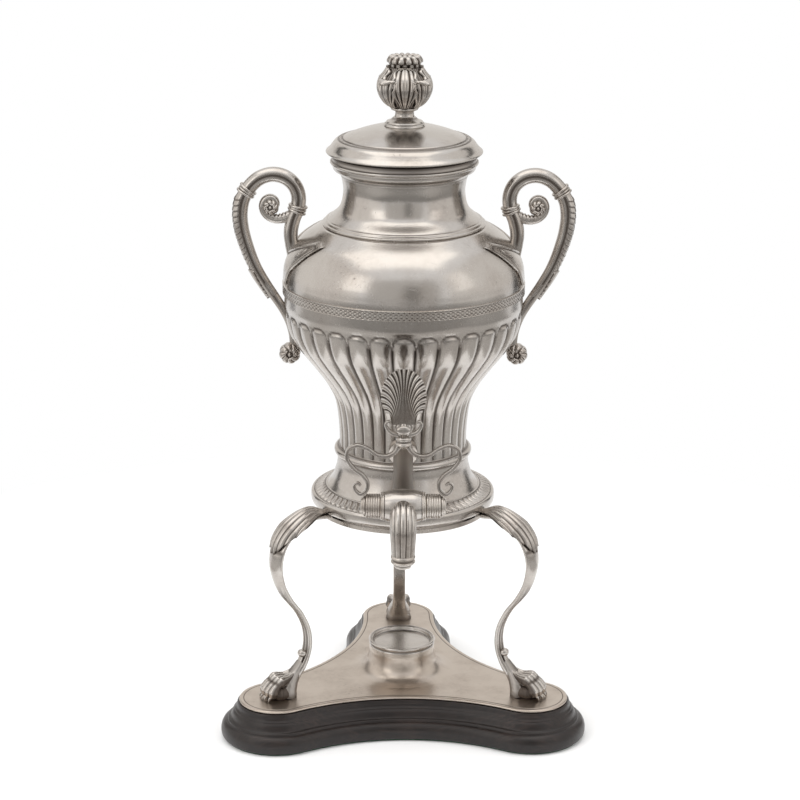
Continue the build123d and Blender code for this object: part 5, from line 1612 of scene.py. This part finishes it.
class Stand(Bench):
    """Three bent straps with fluted shells at the knees and lion paws at the feet."""

    route = Route.level((
        (54, 166), (61.5, 166), (69, 166), (80, 166.6), (90, 162.5), (99, 156), (105.5, 147.5),
        (108, 137), (105.5, 121), (98, 106), (88.5, 92.5), (82.6, 78), (82.4, 64), (87.5, 51.5),
        (93, 44), (96.4, 38),
    ))

    def strap(self) -> Piece:
        """One strap, with raised edges and a middle ridge on its outer face, towards +X."""
        places = [0.0, 0.2, 0.34, 0.42, 0.54, 0.64, 0.86, 1.0]
        widths = [12.0, 15.0, 19.0, 17.0, 11.6, 9.2, 9.6, 11.0]

        def section(place: Array, angle: Array) -> Cut:
            """Flat bar; the outer face is on the negative side."""
            half = np.interp(place, places, widths) / 2
            thick = np.interp(place, [0.85, 1.0], [self.size.thick, 5.0])
            c, s = np.cos(angle), np.sin(angle)
            share = np.abs(squared(s, 0.80))
            outer = ease(-c, 0.15, 0.5)
            ridge, edge = bell(share, 0.0, 0.17), bell(share, 0.80, 0.12)
            on = ease(place, 0.46, 0.56) * (1.0 - ease(place, 0.93, 1.0))
            tongue = (1.0 - share**2) * (1.0 - ease(place, 0.48, 0.62)) * ease(place, 0.28, 0.36)
            relief = on * (0.85 * ridge + 0.75 * edge) + 2.4 * tongue
            field = 0.75 * outer * on * ease(0.7 - ridge - edge, 0.0, 0.5)
            tip = 0.8 * outer * bump_at(place, 0.345, 0.03)
            side = squared(c, 0.42) * thick / 2 - outer * relief
            return side, squared(s, 0.80) * half, most(field, tip, 0.18 * ease(c, 0.15, 0.5))

        return self.swept("leg_strap", self.route, section, 220, 48)

    def knee(self) -> Piece:
        """Fluted shell that fans out from the flange and ends in scallops round its rim."""
        size = self.size

        def shape(x: Array, y: Array, z: Array) -> Moved:
            """Spreads the grid as a fan on the outer face of the strap."""
            fan = 2.0 * x - 1.0
            flute = np.abs(np.sin(np.pi * size.ribs * x))
            along = y * (1.0 - 0.52 * fan**2) * (1.0 - 0.10 * (1.0 - np.sqrt(flute)))
            half = np.interp(along, [0, 0.12, 0.35, 0.6, 0.85, 1], [2.6, 5.4, 10.2, 13.2, 12, 9.8])
            crown = np.interp(along, [0, 0.25, 0.6, 0.85, 1], [1.6, 3.6, 3.6, 2.2, 0.9])
            across = np.sin(fan * np.pi / 2.0)
            place = size.knee_from + (size.knee_to - size.knee_from) * along
            centre, _, aside = self.route.frames(place)
            droop = 2.6 * np.abs(across) ** 3 * ease(along, 0.05, 0.3)
            relief = 1.7 * np.sqrt(flute) * ease(y, 0.02, 0.25) * (1.0 - 0.45 * ease(y, 0.8, 1.0))
            rise = size.thick / 2 + 0.5 + crown * (1.0 - across**2) - droop + relief
            moved = centre - rise[:, None] * aside
            hollow = most(0.98 * ease(0.74 - flute, 0.0, 0.55), 0.8 * ease(y, 0.95, 1.0))
            return moved[:, 0], half * across, moved[:, 2], hollow * ease(y, 0.0, 0.15)

        piece = self.reshape(self.sheet("knee_shell", 126, 70), shape)
        return self.face_out(self.thicken(piece, 1.4, offset=0.0))

    def toe(self, aside: float) -> Piece:
        """A tendon from the button on the strap, the knuckled toe at its end, and its claw."""
        spread = aside * (1.0 - 0.03 * abs(aside))
        short = 0.30 * abs(aside)
        floor = self.size.plate_z
        line = (
            (85.6, 0.16, 60, 0), (88.4, 0.24, 54, 0), (92.6, 0.42, 49, 0), (98, 0.68, 45.4, 0),
            (103.6, 0.92, 43.9, 0.3), (109.4, 1.08, 43, 0.6), (114.2, 1.14, 40.2, 0.9),
            (117, 1.18, 36.2, 1), (118.4, 1.2, floor + 3.0, 1),
        )
        points = [(x - back * short, out * spread, z) for x, out, z, back in line]
        places = [0.0, 0.15, 0.35, 0.52, 0.60, 0.68, 0.76, 0.84, 0.92, 1.0]
        radii = [1.1, 1.3, 1.7, 2.4, 3.5, 4.2, 2.9, 3.5, 4.2, 2.4]

        def section(place: Array, angle: Array) -> Cut:
            """Thin tendon, then two knuckles."""
            radius = np.interp(place, places, radii)
            wide = np.interp(place, [0.0, 0.5, 0.62, 1.0], [0.9, 0.85, 0.80, 0.86])
            fur = 0.16 * np.sin(angle * 9.0) * bump_at(place, 0.62, 0.3)
            hollow = 0.9 * most(ease(np.abs(np.sin(angle)), 0.60, 0.92), bump_at(place, 0.77, 0.10))
            return (radius + fur) * np.cos(angle), wide * radius * np.sin(angle), hollow

        def claw_section(place: Array, angle: Array) -> Cut:
            """Cone that narrows to the claw's point."""
            return oval(1.5 * (1.0 - place) ** 0.8 + 0.12, angle, 0.35 * bump_at(place, 0.0, 0.5))

        toe = self.swept("toe", Route(points), section, 110, 28)
        x, y, z = points[-1]
        hook = ((x - 1.0, z + 1.4), (x + 1.6, z + 0.2), (x + 3.0, z - 2.0), (x + 3.2, floor + 0.2))
        return self.joined(toe, self.swept("claw", Route.level(hook, y), claw_section, 18, 14))

    def paw(self) -> Piece:
        """Paw: pad, heel, toes with tendons and claws, and the round button above them."""
        floor = self.size.plate_z
        cushion = smooth([(0, 12.4), (6.4, 11), (9.6, 7), (10.4, 3), (9.2, 0.1), (0, 0.1)], 30)
        knob = smooth([(0, -3), (2.8, -2), (3.6, 0), (2.8, 2), (0, 3)], 16)
        ankle = Route.level(
            ((88.6, 54), (92.6, 47.6), (96.8, 42), (99.8, 36.6), (101, floor + 0.1))
        )

        def squash(x: Array, y: Array, z: Array) -> Moved:
            """Moves the pad out along the leg, furrows it as fur and flattens it."""
            fur = 0.22 * np.sin(np.arctan2(y, x) * 22.0) * (z > 1.0)
            return x + 106.0 + fur, y * 0.90 + fur, floor + z * 0.80, 0.95

        def section(place: Array, angle: Array) -> Cut:
            """The strap's foot, flared to the width of the paw."""
            wide = np.interp(place, [0.0, 0.3, 0.7, 1.0], [3.6, 5.2, 8.4, 10.0])
            deep = np.interp(place, [0.0, 0.3, 0.7, 1.0], [1.8, 3.6, 6.0, 6.6])
            fur = 0.15 * np.abs(np.sin(place * 26.0 + angle * 5.0)) * ease(place, 0.45, 0.7)
            side = squared(np.cos(angle), 0.8) * (deep + fur)
            out = squared(np.sin(angle), 0.8) * (wide + fur)
            return side, out, 0.3 + 0.5 * ease(place, 0.8, 1.0)

        pad = self.reshape(self.lathe("paw", cushion, 72), squash)
        heel = self.swept("heel", ankle, section, 60, 64)
        button = self.moved(self.lathe("button", knob, 28), (86.8, 0, 60.4))
        return self.joined(pad, heel, button, *(self.toe(aside) for aside in self.size.toes))

    def build(self) -> None:
        """Models one leg, knee and paw, and sets a copy of each at every side."""
        shapes = {"leg": self.strap(), "knee_shell": self.knee(), "paw": self.paw()}
        for node, model in shapes.items():
            for name, angle in self.size.turns:
                piece = self.turned(self.twin(model, f"{node}_{name}_fine"), angle)
                self.finish(piece, Finishes.chased, f"{node}_{name}", crease=55)
            bpy.data.objects.remove(model)


# -------------------------------------------------------------------- base


@dataclass
class BaseSize:
    """Sizes of the three-lobed outline and of the boss."""

    corners: tuple[float, ...] = (331.3, 91.3, 211.3)
    lobe_centre_r: float = 108.3
    lobe_r: float = 28.0
    waist_r: float = 56.0
    lobe_steps: int = 64
    waist_steps: int = 48
    web_inset: float = 6.0
    boss_foot_r: float = 40.0


class Base(Bench):
    """Silvered plate with its boss and lamp seat, on a moulded three-lobed plinth."""

    step_lines = ((16.0, 0.6), (29.78, 0.05))

    def outline(self) -> tuple[Array, Array]:
        """Points round the plate's edge and their outward directions."""
        size = self.size
        lobe_r, waist_r, far = size.lobe_r, size.waist_r, size.lobe_centre_r
        gap = far + 2 * lobe_r - 2 * waist_r
        hollow_r = (far**2 + waist_r**2 - far * waist_r - lobe_r**2) / gap
        points, normals = [], []
        for angle in map(math.radians, size.corners):
            after = angle + math.pi / 3
            lobe = far * np.array([math.cos(angle), math.sin(angle)])
            hollow = (waist_r + hollow_r) * np.array([math.cos(after), math.sin(after)])
            lean = math.atan2(*(hollow - lobe)[::-1]) - angle
            lean = (lean + math.pi) % math.tau - math.pi
            start = angle + lean + math.pi
            sweep = (2 * (after + math.pi - start) + math.pi) % math.tau - math.pi
            arcs = (
                (lobe, lobe_r, angle - lean, 2 * lean, size.lobe_steps, 1),
                (hollow, hollow_r, start, sweep, size.waist_steps, -1),
            )
            for centre, radius, first, span, steps, side in arcs:
                for k in range(steps):
                    a = first + span * k / steps
                    out = np.array([math.cos(a), math.sin(a)])
                    points.append(centre + radius * out)
                    normals.append(side * out)
        return np.array(points), np.array(normals)

    def contour(self, name: str, stations: Sequence[tuple[str, float, float]]) -> Piece:
        """A piece whose level lines follow the three-lobed outline.

        Args:
            name: Name of the piece.
            stations: For each level its kind, its measure and its height: "edge" with the
                distance outside the plate's edge, "round" with a radius, or "web" with a
                share of the way from the edge to the boss's foot.

        Returns:
            The piece, closed at both ends.
        """
        edge, outward = self.outline()
        bearing = np.arctan2(edge[:, 1], edge[:, 0])
        ring = np.stack([np.cos(bearing), np.sin(bearing)], axis=1)
        rim = edge - self.size.web_inset * outward
        draw = {
            "edge": lambda measure: edge + measure * outward,
            "round": lambda measure: measure * ring,
            "web": lambda measure: rim + measure * (self.size.boss_foot_r * ring - rim),
        }
        table = np.array([draw[kind](measure) for kind, measure, _ in stations])
        heights = np.array([height for _, _, height in stations])
        rows, steps = table.shape[:2]

        def shape(x: Array, y: Array, z: Array) -> Moved:
            """Puts each point of the sleeve on its level line, and stains the step lines."""
            row = np.clip(np.rint(z).astype(int), 0, rows - 1)
            turn = np.rint(np.arctan2(y, x) / math.tau * steps).astype(int) % steps
            placed = table[row, turn] * (np.hypot(x, y) > 0.5)[:, None]
            height = heights[row]
            near = most(*(1.0 - np.abs(height - line) / width for line, width in self.step_lines))
            return *placed.T, height, 0.9 * np.clip(near, 0.0, 1.0)

        return self.face_out(self.reshape(self.blank(name, rows, steps), shape))

    def plate(self) -> None:
        """Plate with a rolled edge and a step line, sweeping up into the boss."""
        edge = (
            (-1.4, 28), (-0.4, 28), (0, 28.4), (0.15, 28.9), (0.05, 29.4), (-0.4, 29.85),
            (-1.1, 30.05), (-2, 30.05), (-2.7, 29.95), (-3, 29.78), (-3.3, 29.78), (-3.7, 29.98),
            (-4.6, 30), (-6, 30),
        )
        sweep = (
            (40, 30), (34.6, 31), (29.8, 33.6), (26.4, 38), (25, 43.5), (24.6, 48), (24, 50.3),
        )
        piece = self.contour("base_plate_fine", [
            *(("edge", out, z) for out, z in edge),
            *(("web", k / 14, 30.0) for k in range(1, 15)),
            *(("round", r, z) for r, z in smooth(sweep, 26)[1:]),
        ])
        self.finish(piece, Finishes.plate, "base_plate", crease=50)

    def seat(self) -> None:
        """Lamp seat: a shallow dish with a double rim."""
        loop = [
            (0, 50.1), (24.3, 50.1), (24.7, 50.4), (24.5, 50.9), (24.2, 51.6), (24.3, 52.4),
            (24.9, 52.9), (25.1, 53.5), (25, 54.2), (24.5, 54.8), (23.9, 55), (23.4, 54.8),
            (23.1, 54.4), (22.7, 54.5), (22.3, 54.3), (22, 53.6), (21.9, 52.2), (21.5, 51.7),
            (20.4, 51.5), (10, 51.5), (0, 51.5),
        ]

        def relief(r: Array, turn: Array, z: Array) -> Cut:
            """Stains the rim's lines and the corner of the dish."""
            lines = most(bump_at(r, 23.1, 0.7) * (z > 54.0), bump_at(z, 51.6, 1.6) * (r > 23.5))
            return r, z, most(0.9 * lines, 0.8 * bump_at(r, 21.4, 1.4) * (z < 53.0))

        self.spun("lamp_seat_fine", loop, 160, Finishes.body, "lamp_seat", relief=relief, crease=55)

    def plinth(self) -> None:
        """Moulded plinth: round foot, step, and a hollow up to the plate."""
        edge = (
            (10.5, 1), (12.4, 1.5), (13.4, 2.9), (13.8, 5), (13.8, 7.2), (13.3, 9.6), (12.2, 11.8),
            (10.8, 13.2), (9.3, 13.9), (8.9, 14), (8.8, 14.3), (8.6, 15.2), (8.1, 15.8), (7.5, 16),
            (6.9, 16.2), (6.3, 16.9), (5.9, 18), (5.4, 19.6), (4.8, 20.9), (4, 21.7), (3.7, 22),
            (3.6, 22.4), (3.3, 22.9), (2.6, 23.4), (2.1, 24.3), (1.8, 25.6), (1.6, 27), (1, 27.9),
        )
        piece = self.contour("plinth_fine", [("edge", out, z) for out, z in edge])
        self.finish(piece, Finishes.wood, "plinth", crease=45, slot=Slot.WOOD)

    def build(self) -> None:
        """Makes the base."""
        for make in (self.plinth, self.plate, self.seat):
            make()


# ------------------------------------------------------------ carried nodes


class Carried:
    """CAD nodes that stay as they are and only get a finish."""

    by_slot = {
        Slot.SILVER: Finishes.worn,
        Slot.WOOD: Finishes.wood,
        Slot.FELT: Finishes.felt,
        Slot.BRASS: Finishes.brass,
        Slot.TIN: Finishes.tin,
        Slot.STEEL: Finishes.steel,
        Slot.FIBRE: Finishes.fibre,
    }
    by_node = {"stand_ring": Finishes.worn}

    def __init__(self, finishes: Finishes) -> None:
        """Takes the finishes to dress the nodes with."""
        self.finishes = finishes

    def dress(self) -> None:
        """Gives each shown node the finish of its material slot."""
        slots = {part["node"]: part["material_slot"] for part in frame["record"]["subparts"]}
        for name, node in frame["nodes"].items():
            if node.hide_render:
                continue
            finish = self.by_node.get(name) or self.by_slot[Slot(slots[name])]
            material = self.finishes.material(finish)
            if not node.material_slots:
                node.data.materials.append(material)
            for held in node.material_slots:
                held.material = material
            log.info("node %s: %s", name, material.name)


def main() -> None:
    """Builds the looks on the loaded frame."""
    logging.basicConfig(level=logging.INFO, format="%(message)s")
    bpy.ops.object.select_all(action="DESELECT")
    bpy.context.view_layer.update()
    finishes = Finishes()
    assemblies = (
        Vessel(finishes, VesselSize()),
        Lid(finishes, LidSize()),
        Handle(finishes, HandleSize()),
        Tap(finishes, TapSize()),
        Key(finishes, KeySize()),
        Stand(finishes, StandSize()),
        Base(finishes, BaseSize()),
    )
    for assembly in assemblies:
        assembly.build()
    Carried(finishes).dress()
    Studio().build()


if __name__ == "__main__":
    main()
